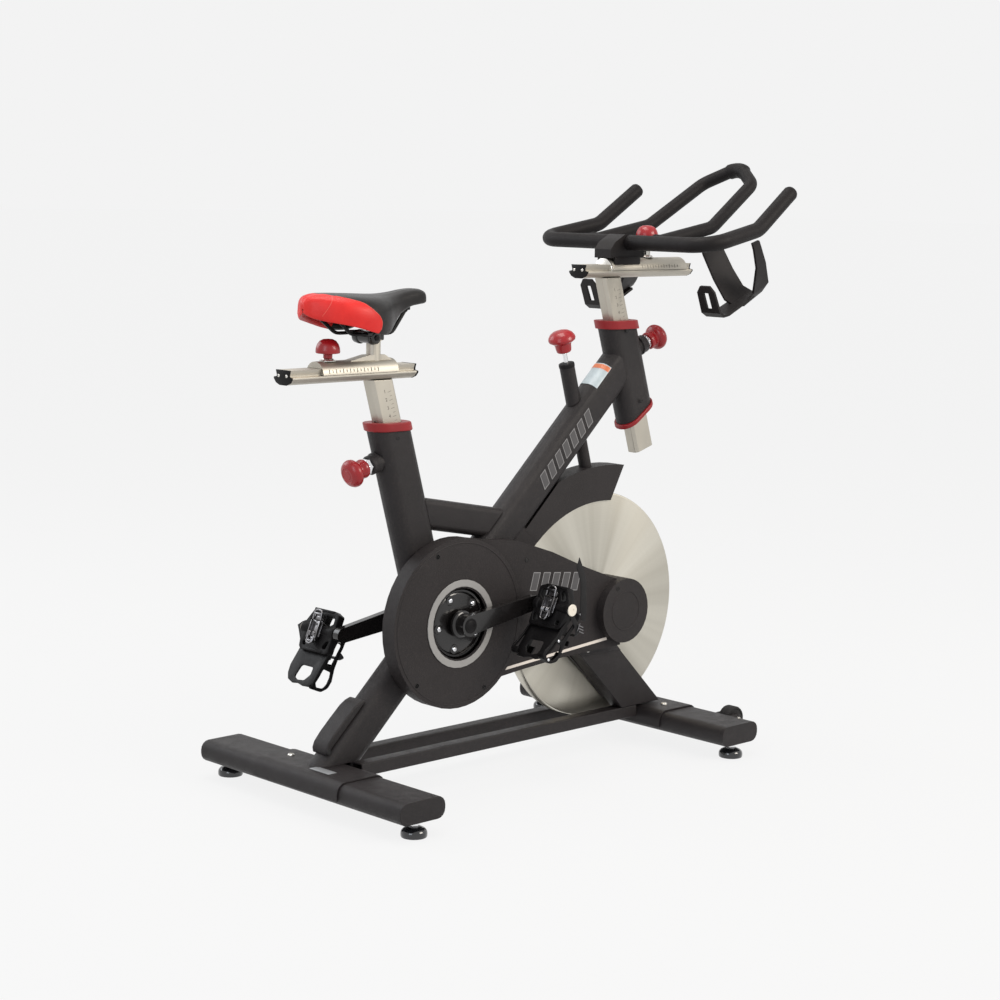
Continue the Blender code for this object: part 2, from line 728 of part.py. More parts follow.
def belt_loop(t):
    pts = []
    for k in range(29):
        a = base_a + beta + (360 - 2*beta) * k / 28
        pts.append((CRANK[0] + (R1+t)*math.cos(math.radians(a)),
                    CRANK[1] + (R1+t)*math.sin(math.radians(a))))
    for k in range(11):
        a = base_a - beta + 2*beta * k / 10
        pts.append((AXLE[0] + (R2+t)*math.cos(math.radians(a)),
                    AXLE[1] + (R2+t)*math.sin(math.radians(a))))
    return pts


prism_y("drive_belt", belt_loop(4.0), -37.5, -48.5, "rubber",
        holes=[belt_loop(0.4)])

# flywheel axle with the small pulley
turned("flywheel_axle",
       [(0, 34), (8.0, 34), (8.0, 16), (8.0, -30), (14, -30), (14, -35.5),
        (29.5, -36.3), (29.5, -49.7), (14, -50.5), (14, -54), (8, -54),
        (8, -60), (0, -60)],
       (AXLE[0], 0, AXLE[1]), (0, 1, 0), "steel", steps=20)
turned("flywheel",
       [(WHEEL_R - 2, WHEEL_T), (WHEEL_R, WHEEL_T - 2),
        (WHEEL_R, -WHEEL_T + 2), (WHEEL_R - 2, -WHEEL_T), (178, -WHEEL_T),
        (172, -9), (46, -9), (42, -15.5), (8.35, -15.5), (8.35, 15.5),
        (42, 15.5), (46, 9), (172, 9), (178, WHEEL_T)],
       (AXLE[0], 0, AXLE[1]), (0, 1, 0), "steel", steps=40, ring=True)


# arms: hub boss, tapered arm and pedal spindle in one piece
def crank_outline(cx, cz, ang, length, r0, r1):
    a = math.radians(ang)
    ux, uz = math.cos(a), math.sin(a)
    k = math.degrees(math.acos((r0 - r1) / length))
    pts = []
    for i in range(13):
        t = ang + k + (360 - 2*k) * i / 12
        pts.append((cx + r0*math.cos(math.radians(t)),
                    cz + r0*math.sin(math.radians(t))))
    for i in range(9):
        t = ang - k + 2*k * i / 8
        pts.append((cx + ux*length + r1*math.cos(math.radians(t)),
                    cz + uz*length + r1*math.sin(math.radians(t))))
    return pts


def crank_arm(name, side, ang):
    a = math.radians(ang)
    ex = CRANK[0] + CRANK_L * math.cos(a)
    ez = CRANK[1] + CRANK_L * math.sin(a)
    y0, y1 = side * 74.5, side * 88.5
    ob = prism_y(name, crank_outline(CRANK[0], CRANK[1], ang, CRANK_L, 19,
                                     14), y0, y1, "gloss_black")
    join(ob, rod("hub", (CRANK[0], side * 57.5, CRANK[1]),
                 (CRANK[0], side * 90.5, CRANK[1]), 20, None, n=24,
                 cutter=True),
         rod("spindle", (ex, side * 87, ez), (ex, side * 178, ez), 6.0, None,
             n=12, cutter=True))
    cut(ob, rod("socket", (CRANK[0], side * 50, CRANK[1]),
                (CRANK[0], side * (86 + GAP), CRANK[1]), 9.6 + GAP, None,
                n=24, cutter=True))
    return ob, ex, ez


_, ERX, ERZ = crank_arm("crank_right", -1, CRANK_ANG)
_, ELX, ELZ = crank_arm("crank_left", 1, CRANK_ANG + 180)


# ------------------------------------------------------------- pedals
# Built flat with the sole up, then hung with the toe cage down.
# u runs to the toe, n to the clip side, y outwards.
def pedal(side, ex, ez, lean):
    tag = "right" if side < 0 else "left"

    def at(u, n):
        a = math.radians(lean)
        ux, uz = -math.sin(a), -math.cos(a)      # toe direction
        nx, nz = -math.cos(a), math.sin(a)       # clip side
        return (ex + u*ux + n*nx, ez + u*uz + n*nz)

    y0, y1 = side * 93.0, side * 184.0
    prof = [(-42, -4), (-37, -9), (-16, -11), (16, -11), (34, -9), (42, -4),
            (42, 4), (34, 8), (16, 11), (-16, 11), (-37, 8), (-42, 4)]
    ob = prism_y("pedal_" + tag, [at(u, n) for u, n in prof], y0, y1,
                 "gloss_black", holes=[])
    # windows on either side of the spindle barrel, and the spindle bore
    for u0, u1 in ((-34, -14), (14, 33)):
        for v0, v1 in ((100, 134), (144, 177)):
            cut(ob, prism_y("win", [at(u0, -20), at(u1, -20), at(u1, 20),
                                    at(u0, 20)], side*v0, side*v1, None,
                            cutter=True))
    cut(ob, rod("bore", (ex, side*80, ez), (ex, side*(178 + 1.5), ez),
                6.0 + GAP, None, n=16, cutter=True))
    # toe cage: sole plate, round toe and hoop over the foot
    path = [(22, -14.5), (60, -15), (88, -18)]
    hoop = [Vector((p[0], p[1], 0)) for p in
            ((16, -14.0), (107, -14.0), (100, -45), (56, -49))]
    pts = fillet([tuple(h) for h in hoop], [14, 14], n=4)
    line = [at(p.x, p.y) for p in pts]
    cage = prism_y("toe_cage_" + tag, strap(line, 4.5), side*97, side*181,
                   "gloss_black")
    for u0, u1, v0, v1, n0, n1 in ((52, 82, 106, 130, -24, 4),
                                   (52, 82, 148, 172, -24, 4),
                                   (66, 90, 108, 134, -70, -38),
                                   (66, 90, 144, 170, -70, -38)):
        cut(cage, prism_y("win", [at(u0, n0), at(u1, n0), at(u1, n1),
                                  at(u0, n1)], side*v0, side*v1, None,
                          cutter=True))
    return ob, cage


pedal(-1, ERX, ERZ, 24.0)
pedal(1, ELX, ELZ, 24.0)

# ------------------------------------------------------------- brake
sh_out = circle(713, 181.5, 385, 12, 82.5, 130)
sh_in = circle(701, 226, 270, 12, 131, 84.5)
shroud = prism_y("flywheel_shroud", sh_out + sh_in, -22, 22, "matte_plastic")
sh_ci = circle(713, 181.5, 381, 12, 81.8, 133)
sh_cut = prism_y("hollow",
                 sh_ci + [(430, 380), (694, 230), (760, 470)], -18.5, 18.5,
                 None, cutter=True)
cut(shroud, sh_cut)
cut(shroud, main_solid(GAP, 6.0))

# brake line: knob, rod through tube, pad above the rim
bd = Vector((-0.287, 0, 1)).normalized()
bq = Vector((636, 0, 698))


def brake_pt(z):
    return (bq.x - 0.287 * (z - bq.z), 0, z)


up = rod("brake_tube_upper", brake_pt(660), brake_pt(770), 15, "powder_coat",
         n=24)
cut(up, main_solid(GAP, 6.0),
    rod("bore", brake_pt(640), brake_pt(790), 10.5, None, n=20, cutter=True))
strut = rod("strut", brake_pt(559), brake_pt(640), 12.5, None, n=20,
            cutter=True)
cut(strut, main_solid(GAP, 6.0))
join(shroud, strut)
cut(shroud, rod("bore", brake_pt(500), brake_pt(660), 8.0, None, n=16,
                cutter=True))
cut(main_tube, rod("bore", brake_pt(560), brake_pt(760), 8.0, None, n=16,
                   cutter=True))
b_ax = (-0.287, 0, 1)
brake_rod = turned("brake_rod",
                   [(0, 118), (4.0, 118), (4.0, 96), (4.5, 96), (4.5, 62),
                    (7.0, 60), (7.0, -60), (4.5, -62), (4.5, -150),
                    (0, -150)],
                   brake_pt(698), b_ax, "chrome", steps=12)
pz = 545.0
pc = Vector(brake_pt(pz))
pr_ = WHEEL_R + 4.0
dirw = Vector((pc.x - AXLE[0], 0, pc.z - AXLE[1]))
ang_p = math.degrees(math.atan2(dirw.z, dirw.x))
pad = prism_y("pad", circle(AXLE[0], AXLE[1], pr_, 6, ang_p - 8, ang_p + 8) +
              circle(AXLE[0], AXLE[1], pr_ + 14, 6, ang_p + 8, ang_p - 8),
              -12, 12, None, cutter=True)
join(brake_rod, pad, rod("stem", brake_pt(520), brake_pt(556), 6.2, None,
                         n=12, cutter=True))

turned("brake_knob",
       [(0, 142), (9, 141.5), (17, 138), (22.5, 131), (24, 124), (22.5, 119),
        (12, 115), (10.5, 109), (10, 100), (4.3, 100), (4.3, 119),
        (0, 119)],
       brake_pt(698), b_ax, "red_plastic", steps=16)

# ------------------------------------------------------------- seat group
def post(name, line, z0, z1, cut1=None, cut0=None):
    return section_tube(name, (line(z0), 0, z0), (line(z1), 0, z1), POST_W,
                        POST_D, POST_R, "aluminium", wall=3.0, cut1=cut1,
                        cut0=cut0, n=1)


RAIL_SEC = [(-9, 0), (9, 0), (19, 4), (24.5, 10.5), (24.5, 13.5),
            (16.5, 15), (16.5, 18), (19, 26), (-19, 26), (-16.5, 18),
            (-16.5, 15), (-24.5, 13.5), (-24.5, 10.5), (-19, 4)]


def rail_bar(name, x0, x1, z0):
    # extrusion with a lengthwise hollow
    return prism_x(name, [(y, z0 + z) for y, z in RAIL_SEC], x0, x1,
                   "aluminium",
                   holes=[[(-12, z0 + 5), (12, z0 + 5), (12, z0 + 13),
                           (-12, z0 + 13)]])


def carriage(name, x0, x1, z0):
    arch = circle(0, z0 + 15 + GAP, 24.5, 10, 4, 176)
    arch = [(y, z0 + 15 + GAP + (z - z0 - 15 - GAP) * 0.93)
            for y, z in arch]
    sec = ([(24.5, z0 + 14.2)] + arch + [(-24.5, z0 + 14.2)] +
           [(-17.0, z0 + 15.2 + GAP), (-17.0, z0 + 18),
            (-19.6, z0 + 26 + GAP), (19.6, z0 + 26 + GAP),
            (17.0, z0 + 18), (17.0, z0 + 15.2 + GAP)])
    return prism_x(name, sec, x0, x1, "aluminium")


SEAT_RAIL_Z = 764.0
BAR_RAIL_Z = 936.0
post("seat_post", seat_line, 470, 760,
     cut1=((0, 0, SEAT_RAIL_Z - GAP), (0, 0, 1)))
rail_bar("seat_rail", -80, 205, SEAT_RAIL_Z)
sc = carriage("seat_carriage", -12, 162, SEAT_RAIL_Z)
ZT = SEAT_RAIL_Z + 36.0
join(sc,
     prism_y("ramp", [(60, ZT), (104, ZT + 9), (140, ZT + 9), (156, ZT),
                      (156, ZT - 6), (60, ZT - 6)], -11, 11, None,
             cutter=True),
     rod("stub", (122, 0, ZT - 5), (122, 0, 838), 13, None, n=20,
         cutter=True),
     rod("barrel", (122, -14, 843), (122, 14, 843), 11.5, None, n=20,
         cutter=True))

turned("seat_clamp_knob",
       [(0, 841), (9, 840.5), (16, 837), (20, 830), (20.5, 823), (19, 820),
        (9, 819), (8, 811), (9, 806), (5, 802.4), (0, 802.4)],
       (17, 0, 0), (0, 0, 1), "red_plastic", steps=16)

clamp = prism_y("saddle_clamp",
                circle(122, 843, 17, 12, 200, 340) +
                [(140, 852), (138, 864), (106, 864), (104, 852)],
                -30, 30, "gloss_black")
cut(clamp,
    prism_y("slot", circle(122, 843, 12.2, 12, 0, 180) +
            [(109.8, 820), (134.2, 820)], -14.5, 14.5, None, cutter=True),
    box("slot2", 90, 150, -14.5, 14.5, 815, 843, cutter=True),
    rod("rail_r", (90, -22, 848), (160, -22, 848), 3.5 + GAP + 0.3, None, n=12,
        cutter=True),
    rod("rail_l", (90, 22, 848), (160, 22, 848), 3.5 + GAP + 0.3, None, n=12,
        cutter=True))

rails_pts = fillet([(8, 26, 884), (52, 22, 848), (146, 22, 848),
                    (192, 7, 889)], [22, 26], n=3)
rl = wire_tube("saddle_rails", [tuple(p) for p in rails_pts], 3.5, "chrome",
               res=1)
# both rails meet in a cross bar under the nose
rr = mirrored(rl, "rr", None)
cross = rod("cross", (190.5, -10, 887), (190.5, 10, 887), 3.6, None, n=10,
            cutter=True)
join(rl, rr, cross)


def saddle():
    """Loft of cross sections: padded shell, open underneath."""
    xs = [-40, -35, -24, -8, 12, 36, 62, 88, 112, 134, 160, 190, 215,
          232, 240]
    hw = [9, 20, 34, 50, 65, 74, 77, 72, 62, 48, 34, 27, 23, 17, 10]
    top = [904, 912, 917, 920, 920, 920, 919, 918, 917, 917, 919, 924, 925,
           920, 911]
    skirt = [886, 880, 876, 873, 869, 863, 855, 849, 850, 862, 880, 893, 897,
             899, 902]
    mid = [893, 890, 890, 890, 890, 890, 890, 890, 890, 893, 899, 905, 908,
           907, 906]
    bm = bmesh.new()
    rings = []
    for x, w, t, s, m in zip(xs, hw, top, skirt, mid):
        h = t - s
        th = min(13.0, w * 0.45)
        sec = [(0, t), (w*0.45, t - h*0.04), (w*0.8, t - h*0.16),
               (w*0.97, t - h*0.42), (w, t - h*0.75), (w - 3, s),
               (w - th, s + 2), (w - th - 3, m - 5), (w*0.35, m), (0, m)]
        full = sec + [(-y, z) for y, z in reversed(sec[1:-1])]
        rings.append([bm.verts.new(P(x, y, z)) for y, z in full])
    n = len(rings[0])
    for a, b in zip(rings, rings[1:]):
        for i in range(n):
            j = (i + 1) % n
            bm.faces.new((a[i], a[j], b[j], b[i]))
    bm.faces.new(rings[0])
    bm.faces.new(list(reversed(rings[-1])))
    bmesh.ops.triangulate(bm, faces=[f for f in bm.faces
                                     if len(f.verts) > 4])
    me = bpy.data.meshes.new("saddle")
    bm.to_mesh(me)
    bm.free()
    tidy(me)
    return place(bpy.data.objects.new("saddle", me), "red_vinyl")


saddle()

# ------------------------------------------------------------- handlebar group
post("bar_post", head_line, 590, 930,
     cut1=((0, 0, BAR_RAIL_Z - GAP), (0, 0, 1)))
rail_bar("bar_rail", 646, 947, BAR_RAIL_Z)
carriage("bar_carriage", 672, 932, BAR_RAIL_Z)
ZB = BAR_RAIL_Z + 38.2
BAR_X, BAR_Z, BAR_R, LOOP_R = 762.0, 1004.7, 15.0, 13.0
stem = prism_y("handlebar_stem",
               [(710, ZB + GAP), (806, ZB + GAP), (806, 992), (792, 1010),
                (776, 1020), (750, 1021), (722, 1006), (710, 992)], -22, 22,
               "gloss_black")
cut(stem, rod("clamp_bore", (BAR_X, -40, BAR_Z), (BAR_X, 40, BAR_Z),
              BAR_R + GAP, None, n=24, cutter=True))

HORN_W = 233.0
horn = fillet([(1027.5, -207.7, 1106), (922, -216.5, 1034.5),
               (BAR_X, -HORN_W, BAR_Z), (BAR_X, HORN_W, BAR_Z),
               (922, 216.5, 1034.5), (1027.5, 207.7, 1106)],
              [55, 48, 48, 55], n=5)
bar = wire_tube("handlebar", [tuple(p) for p in horn], BAR_R, "foam_grip",
                res=3)
loop = fillet([(BAR_X, -85, BAR_Z), (935, -85, 1035), (1078, -66, 1122),
               (1118, 0, 1157), (1078, 66, 1122), (935, 85, 1035),
               (BAR_X, 85, BAR_Z)], [60, 36, 36, 36, 60], n=4)
join(bar, wire_tube("loop", [tuple(p) for p in loop], LOOP_R, None, res=2,
                    cutter=True))

turned("bar_clamp_knob",
       [(0, 1038), (10, 1037.5), (18, 1034), (23, 1027), (23.5, 1019),
        (21, 1015), (11, 1013), (9, 1005), (7, 1000), (7, ZB + GAP + 3),
        (6, ZB + GAP), (0, ZB + GAP)],
       (837, 0, 0), (0, 0, 1), "red_plastic", steps=16)


def band(name, stations, t, mat, cutter=False):
    """Flat strip: each station is a centre and a half-width vector."""
    bm = bmesh.new()
    rings = []
    c = [Vector(q[0]) for q in stations]
    for i, (p, w) in enumerate(stations):
        a = c[max(i - 1, 0)]
        b = c[min(i + 1, len(c) - 1)]
        w = Vector(w)
        nrm = (b - a).cross(w).normalized() * t / 2
        rings.append([bm.verts.new(P(*(c[i] + o))) for o in
                      (w + nrm, w - nrm, -w - nrm, -w + nrm)])
    for r0, r1 in zip(rings, rings[1:]):
        for i in range(4):
            j = (i + 1) % 4
            bm.faces.new((r0[i], r0[j], r1[j], r1[i]))
    bm.faces.new(rings[0])
    bm.faces.new(list(reversed(rings[-1])))
    bmesh.ops.triangulate(bm, faces=bm.faces)
    me = bpy.data.meshes.new(name)
    bm.to_mesh(me)
    bm.free()
    tidy(me)
    return place(bpy.data.objects.new(name, me), mat, cutter)


def bottle_cage(name, side):
    """U-shaped cradle between loop and horn, with a slotted end stop."""
    u = [((922, 90, 1015), (29, 0, 4)), ((926, 98, 988), (29, 0, 6)),
         ((931, 122, 944), (28, 0, 10)), ((937, 146, 908), (27, 0, 13)),
         ((946, 162, 897), (27, 0, 14)), ((957, 178, 899), (27, 0, 14)),
         ((966, 190, 920), (22, 0, 11)), ((950, 202, 965), (13, 0, 6)),
         ((928, 210, 998), (10, 0, 4)), ((918, 213, 1011), (10, 0, 3))]
    u = [((p[0], side * p[1], p[2]), w) for p, w in u]
    ob = band(name, u, 5, "gloss_black")
    floor = band("floor", [((955, side * 165, 903), (0, 20, 0)),
                           ((880, side * 162, 868), (0, 23, 0)),
                           ((866, side * 161, 865), (0, 23, 0)),
                           ((855, side * 160, 872), (0, 24, 0)),
                           ((838, side * 160, 912), (0, 22, 0)),
                           ((834, side * 160, 924), (0, 12, 0))], 5, None,
                 cutter=True)
    join(ob, floor)
    cut(ob, box("slot", 825, 865, side * 160 - 6.5, side * 160 + 6.5, 880,
                910, cutter=True))
    return ob


bottle_cage("bottle_cage_right", -1)
bottle_cage("bottle_cage_left", 1)

# ------------------------------------------------------------- pull pins
PIN_PROF = [(0, 50), (10, 49.5), (18, 46), (22.5, 39), (22.5, 33), (20, 29),
            (13, 26), (11.5, 20), (14, 14), (14, 8), (8, 7.5), (8, -25),
            (0, -25)]


def pull_pin(name, base, d, reach):
    prof = [(r, z) for r, z in PIN_PROF]
    o = base + d * reach
    return turned(name, prof, tuple(o), tuple(d), "red_plastic", steps=16)


pull_pin("seat_pin_knob", pin_base, seat_pin_dir, 52.5)
pull_pin("bar_pin_knob", hpin_base, bar_pin_dir, 54.5)


# ------------------------------------------------------------- wheels
# transport wheels ahead of the front stabilizer, between two cheek plates
WHEEL_X, WHEEL_Z, TR_R = 915.0, 52.0, 26.0
front = bpy.data.objects["front_stabilizer"]
for side in (-1, 1):
    tag = "right" if side < 0 else "left"
    turned("transport_wheel_" + tag,
           [(TR_R - 2, 12), (TR_R, 9), (TR_R, -9), (TR_R - 2, -12),
            (6.4, -12), (6.4, 12)],
           (WHEEL_X, side * 192, WHEEL_Z), (0, 1, 0), "rubber", steps=20,
           ring=True)
    for y0, y1 in ((172, 177), (207, 212)):
        cheek = prism_y("cheek", circle(WHEEL_X, WHEEL_Z, 13, 6, -90, 90) +
                        [(880, 64), (880, 38)], side * y0, side * y1, None,
                        cutter=True)
        join(front, cheek)
    join(front, rod("axle", (WHEEL_X, side * 174, WHEEL_Z),
                    (WHEEL_X, side * 210, WHEEL_Z), 6.0, None, n=12,
                    cutter=True))

# ------------------------------------------------------------- moving groups
# Each empty stands on a joint's axis and carries the pieces that move on it.
AXES = {}


def axis(name, point, members, parent=None):
    e = bpy.data.objects.new("axis_" + name, None)
    e.empty_display_size = 0.03
    BIKE.objects.link(e)
    here = P(*point)
    if parent:
        e.parent = AXES[parent][0]
        e.location = here - AXES[parent][1]
    else:
        e.location = here
    for m in members:
        ob = bpy.data.objects[m]
        ob.parent = e
        ob.matrix_parent_inverse = Matrix.Translation(-here)
    AXES[name] = (e, here)


axis("flywheel", (AXLE[0], 0, AXLE[1]), ["flywheel", "flywheel_axle"])
axis("crank", (CRANK[0], 0, CRANK[1]),
     ["crank_axle", "crank_pulley", "crank_right", "crank_left"])
axis("pedal_right", (ERX, -138, ERZ), ["pedal_right", "toe_cage_right"],
     "crank")
axis("pedal_left", (ELX, 138, ELZ), ["pedal_left", "toe_cage_left"], "crank")
axis("seat_post", (seat_line(669.5), 0, 669.5), ["seat_post", "seat_rail"])
axis("seat_slide", (80, 0, 777), ["seat_carriage"], "seat_post")
axis("saddle_tilt", (122, 0, 843), ["saddle", "saddle_rails", "saddle_clamp"],
     "seat_slide")
axis("seat_clamp_knob", (17, 0, 820), ["seat_clamp_knob"], "seat_slide")
axis("bar_post", (head_line(834.5), 0, 834.5), ["bar_post", "bar_rail"])
axis("bar_slide", (800, 0, 949),
     ["bar_carriage", "handlebar_stem", "handlebar", "bottle_cage_right",
      "bottle_cage_left"], "bar_post")
axis("bar_clamp_knob", (837, 0, 1010), ["bar_clamp_knob"], "bar_slide")
axis("seat_pin", tuple(pin_base), ["seat_pin_knob"])
axis("bar_pin", tuple(hpin_base), ["bar_pin_knob"])
axis("brake_rod", brake_pt(698), ["brake_rod"])
axis("brake_knob", brake_pt(800), ["brake_knob"], "brake_rod")
for tag, x in (("rear", 0), ("front", X_FRONT)):
    for side_tag, y in (("right", -FOOT_Y), ("left", FOOT_Y)):
        axis("foot_%s_%s" % (tag, side_tag), (x, y, 0),
             ["foot_%s_%s" % (tag, side_tag)])
for side_tag, y in (("right", -192), ("left", 192)):
    axis("transport_wheel_" + side_tag, (WHEEL_X, y, WHEEL_Z),
         ["transport_wheel_" + side_tag])
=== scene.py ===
# Looks for the indoor cycling bike: materials, saddle cover, handlebar,
# knobs, pedal mechanisms, fasteners, scales and trim, round the CAD frame.
import json
import math
import bpy
import bmesh
from mathutils import Vector, Matrix

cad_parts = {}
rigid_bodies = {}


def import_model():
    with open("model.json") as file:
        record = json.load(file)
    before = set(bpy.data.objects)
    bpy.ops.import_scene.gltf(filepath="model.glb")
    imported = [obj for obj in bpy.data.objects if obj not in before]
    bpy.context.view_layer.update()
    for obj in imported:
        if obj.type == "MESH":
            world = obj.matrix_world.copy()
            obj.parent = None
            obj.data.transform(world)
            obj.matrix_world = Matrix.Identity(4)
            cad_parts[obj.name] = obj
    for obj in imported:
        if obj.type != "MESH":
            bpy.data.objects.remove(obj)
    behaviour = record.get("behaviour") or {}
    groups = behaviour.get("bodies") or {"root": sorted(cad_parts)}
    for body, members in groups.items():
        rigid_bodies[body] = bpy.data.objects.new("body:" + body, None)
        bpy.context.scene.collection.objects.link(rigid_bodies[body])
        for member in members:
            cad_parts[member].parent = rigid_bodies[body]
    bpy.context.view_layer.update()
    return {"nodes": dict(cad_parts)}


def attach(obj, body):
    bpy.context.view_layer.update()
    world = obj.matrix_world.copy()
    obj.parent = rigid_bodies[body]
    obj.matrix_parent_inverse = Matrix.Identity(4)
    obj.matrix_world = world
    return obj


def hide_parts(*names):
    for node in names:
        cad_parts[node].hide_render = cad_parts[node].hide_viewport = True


for _o in list(bpy.data.objects):
    bpy.data.objects.remove(_o, do_unlink=True)
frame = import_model()
NODES = frame["nodes"]
SCENE = bpy.context.scene
XM = 521.55                      # bike millimetres to the frame's metres


def P(x, y, z):
    return Vector(((x - XM) / 1000, y / 1000, z / 1000))


# =================================================================== materials
def base_mat(name, rgb, rough, metal=0.0, coat=0.0, coat_rough=0.1,
             spec=0.5, sheen=0.0, aniso=0.0):
    m = bpy.data.materials.new(name)
    m.use_nodes = True
    t = m.node_tree
    b = t.nodes["Principled BSDF"]
    b.inputs["Base Color"].default_value = (*rgb, 1)
    b.inputs["Roughness"].default_value = rough
    b.inputs["Metallic"].default_value = metal
    b.inputs["Coat Weight"].default_value = coat
    b.inputs["Coat Roughness"].default_value = coat_rough
    b.inputs["Specular IOR Level"].default_value = spec
    b.inputs["Sheen Weight"].default_value = sheen
    b.inputs["Anisotropic"].default_value = aniso
    m.diffuse_color = (*rgb, 1)
    return m, t, b


def noise(t, scale, detail=3.0, rough=0.5, stretch=None, dist=0.0, w=None):
    c = t.nodes.new("ShaderNodeTexCoord")
    n = t.nodes.new("ShaderNodeTexNoise")
    n.inputs["Scale"].default_value = scale
    n.inputs["Detail"].default_value = detail
    n.inputs["Roughness"].default_value = rough
    n.inputs["Distortion"].default_value = dist
    if stretch:
        mp = t.nodes.new("ShaderNodeMapping")
        mp.inputs["Scale"].default_value = stretch
        t.links.new(c.outputs["Object"], mp.inputs["Vector"])
        t.links.new(mp.outputs["Vector"], n.inputs["Vector"])
    else:
        t.links.new(c.outputs["Object"], n.inputs["Vector"])
    return n


def remap(t, src, a0, a1, b0, b1):
    r = t.nodes.new("ShaderNodeMapRange")
    r.inputs["From Min"].default_value = a0
    r.inputs["From Max"].default_value = a1
    r.inputs["To Min"].default_value = b0
    r.inputs["To Max"].default_value = b1
    t.links.new(src, r.inputs["Value"])
    return r.outputs["Result"]


def mixc(t, fac, c0, c1):
    m = t.nodes.new("ShaderNodeMix")
    m.data_type = 'RGBA'
    if isinstance(fac, float):
        m.inputs["Factor"].default_value = fac
    else:
        t.links.new(fac, m.inputs["Factor"])
    for c, s in ((c0, "A"), (c1, "B")):
        sock = [i for i in m.inputs if i.name == s and i.type == 'RGBA'][0]
        if isinstance(c, (tuple, list)):
            sock.default_value = (*c[:3], 1)
        else:
            t.links.new(c, sock)
    return [o for o in m.outputs if o.type == 'RGBA'][0]


def scaled(c, k):
    return tuple(min(1.0, v * k) for v in c)


def finish(name, rgb, rough, metal=0.0, coat=0.0, coat_rough=0.1, spec=0.5,
           grain=(900, 0.15, 0.0002), mottle=(14, 0.12), rvar=0.06,
           stretch=None, sheen=0.0, aniso=0.0, speck=None, tint=None):
    """Surface with fine grain in its normal, soft colour drift and uneven gloss."""
    m, t, b = base_mat(name, rgb, rough, metal, coat, coat_rough, spec,
                       sheen, aniso)
    if mottle:
        n = noise(t, mottle[0], 4, 0.6)
        k = remap(t, n.outputs["Fac"], 0.3, 0.7, 0.0, 1.0)
        lo, hi = scaled(rgb, 1 - mottle[1]), scaled(rgb, 1 + mottle[1])
        if tint:
            hi = tint
        col = mixc(t, k, lo, hi)
        if speck:
            s = noise(t, speck[0], 2, 0.5)
            ks = remap(t, s.outputs["Fac"], speck[1], speck[1] + 0.08, 0, 1)
            col = mixc(t, ks, col, speck[2])
        t.links.new(col, b.inputs["Base Color"])
    if rvar:
        n = noise(t, 45, 5, 0.65, stretch)
        t.links.new(remap(t, n.outputs["Fac"], 0.25, 0.75, max(0.02,
                    rough - rvar), min(1.0, rough + rvar)),
                    b.inputs["Roughness"])
    if grain:
        n = noise(t, grain[0], 3, 0.55, stretch)
        bp = t.nodes.new("ShaderNodeBump")
        bp.inputs["Strength"].default_value = grain[1]
        bp.inputs["Distance"].default_value = grain[2]
        t.links.new(n.outputs["Fac"], bp.inputs["Height"])
        t.links.new(bp.outputs["Normal"], b.inputs["Normal"])
    return m


M = {}
M["powder"] = finish("powder_coat_satin", (0.0128, 0.0108, 0.0112), 0.45,
                     spec=0.22, coat=0.03, coat_rough=0.4,
                     grain=(800, 0.9, 0.0009), mottle=(9, 0.22), rvar=0.09,
                     speck=(620, 0.58, (0.030, 0.024, 0.023)))
M["guard"] = finish("guard_plastic_matte", (0.0150, 0.0125, 0.0126), 0.52,
                    spec=0.22, grain=(700, 0.9, 0.0008), mottle=(7, 0.18),
                    rvar=0.06, speck=(640, 0.58, (0.030, 0.024, 0.023)))
M["red"] = finish("red_moulded_plastic", (0.235, 0.0055, 0.0085), 0.34,
                  coat=0.25, coat_rough=0.16, spec=0.32,
                  grain=(90, 0.02, 0.0001), mottle=(22, 0.14), rvar=0.05)
M["red_trim"] = finish("red_trim_plastic", (0.200, 0.0060, 0.0085), 0.42,
                       coat=0.08, coat_rough=0.3, spec=0.3, grain=(900, 0.1, 0.0002),
                       mottle=(18, 0.12), rvar=0.06)
M["alu"] = finish("satin_aluminium_lengthwise", (0.45, 0.422, 0.366), 0.50,
                  metal=1.0, grain=(420, 0.16, 0.0002), mottle=(11, 0.06),
                  rvar=0.08, stretch=(0.06, 1.6, 1.6))
M["alu_post"] = finish("satin_aluminium_post", (0.45, 0.422, 0.366), 0.44,
                       metal=1.0, grain=(420, 0.16, 0.0002),
                       mottle=(11, 0.06), rvar=0.08, stretch=(1.6, 1.6, 0.06))
M["chrome"] = finish("bright_chrome", (0.78, 0.78, 0.79), 0.10, metal=1.0,
                     grain=None, mottle=(30, 0.04), rvar=0.04)
M["zinc"] = finish("zinc_plated_steel", (0.62, 0.60, 0.56), 0.28, metal=1.0,
                   grain=(900, 0.1, 0.0001), mottle=(60, 0.10), rvar=0.08)
M["gloss"] = finish("gloss_black_enamel", (0.0050, 0.0042, 0.0042), 0.24,
                    spec=0.4, coat=0.35, coat_rough=0.08, grain=(500, 0.05, 0.0002),
                    mottle=(12, 0.2), rvar=0.05)
M["black"] = finish("black_moulding", (0.0050, 0.0045, 0.0048), 0.44,
                    spec=0.13,
                    grain=(900, 0.25, 0.0003), mottle=(16, 0.18), rvar=0.08,
                    coat=0.02, coat_rough=0.25)
# painted shade: near-black for holes and screw recesses, standing in for the shade
# inside them
M["blackhole"] = finish("painted_recess_shade", (0.003, 0.003, 0.003), 0.7,
                        grain=(700, 0.2, 0.0002), mottle=(20, 0.3),
                        rvar=0.05)
M["foam"] = finish("grip_coating_dark", (0.0060, 0.0046, 0.0048), 0.55,
                   spec=0.17,
                   grain=(1300, 0.7, 0.0004), mottle=(12, 0.2), rvar=0.07,
                   sheen=0.0)
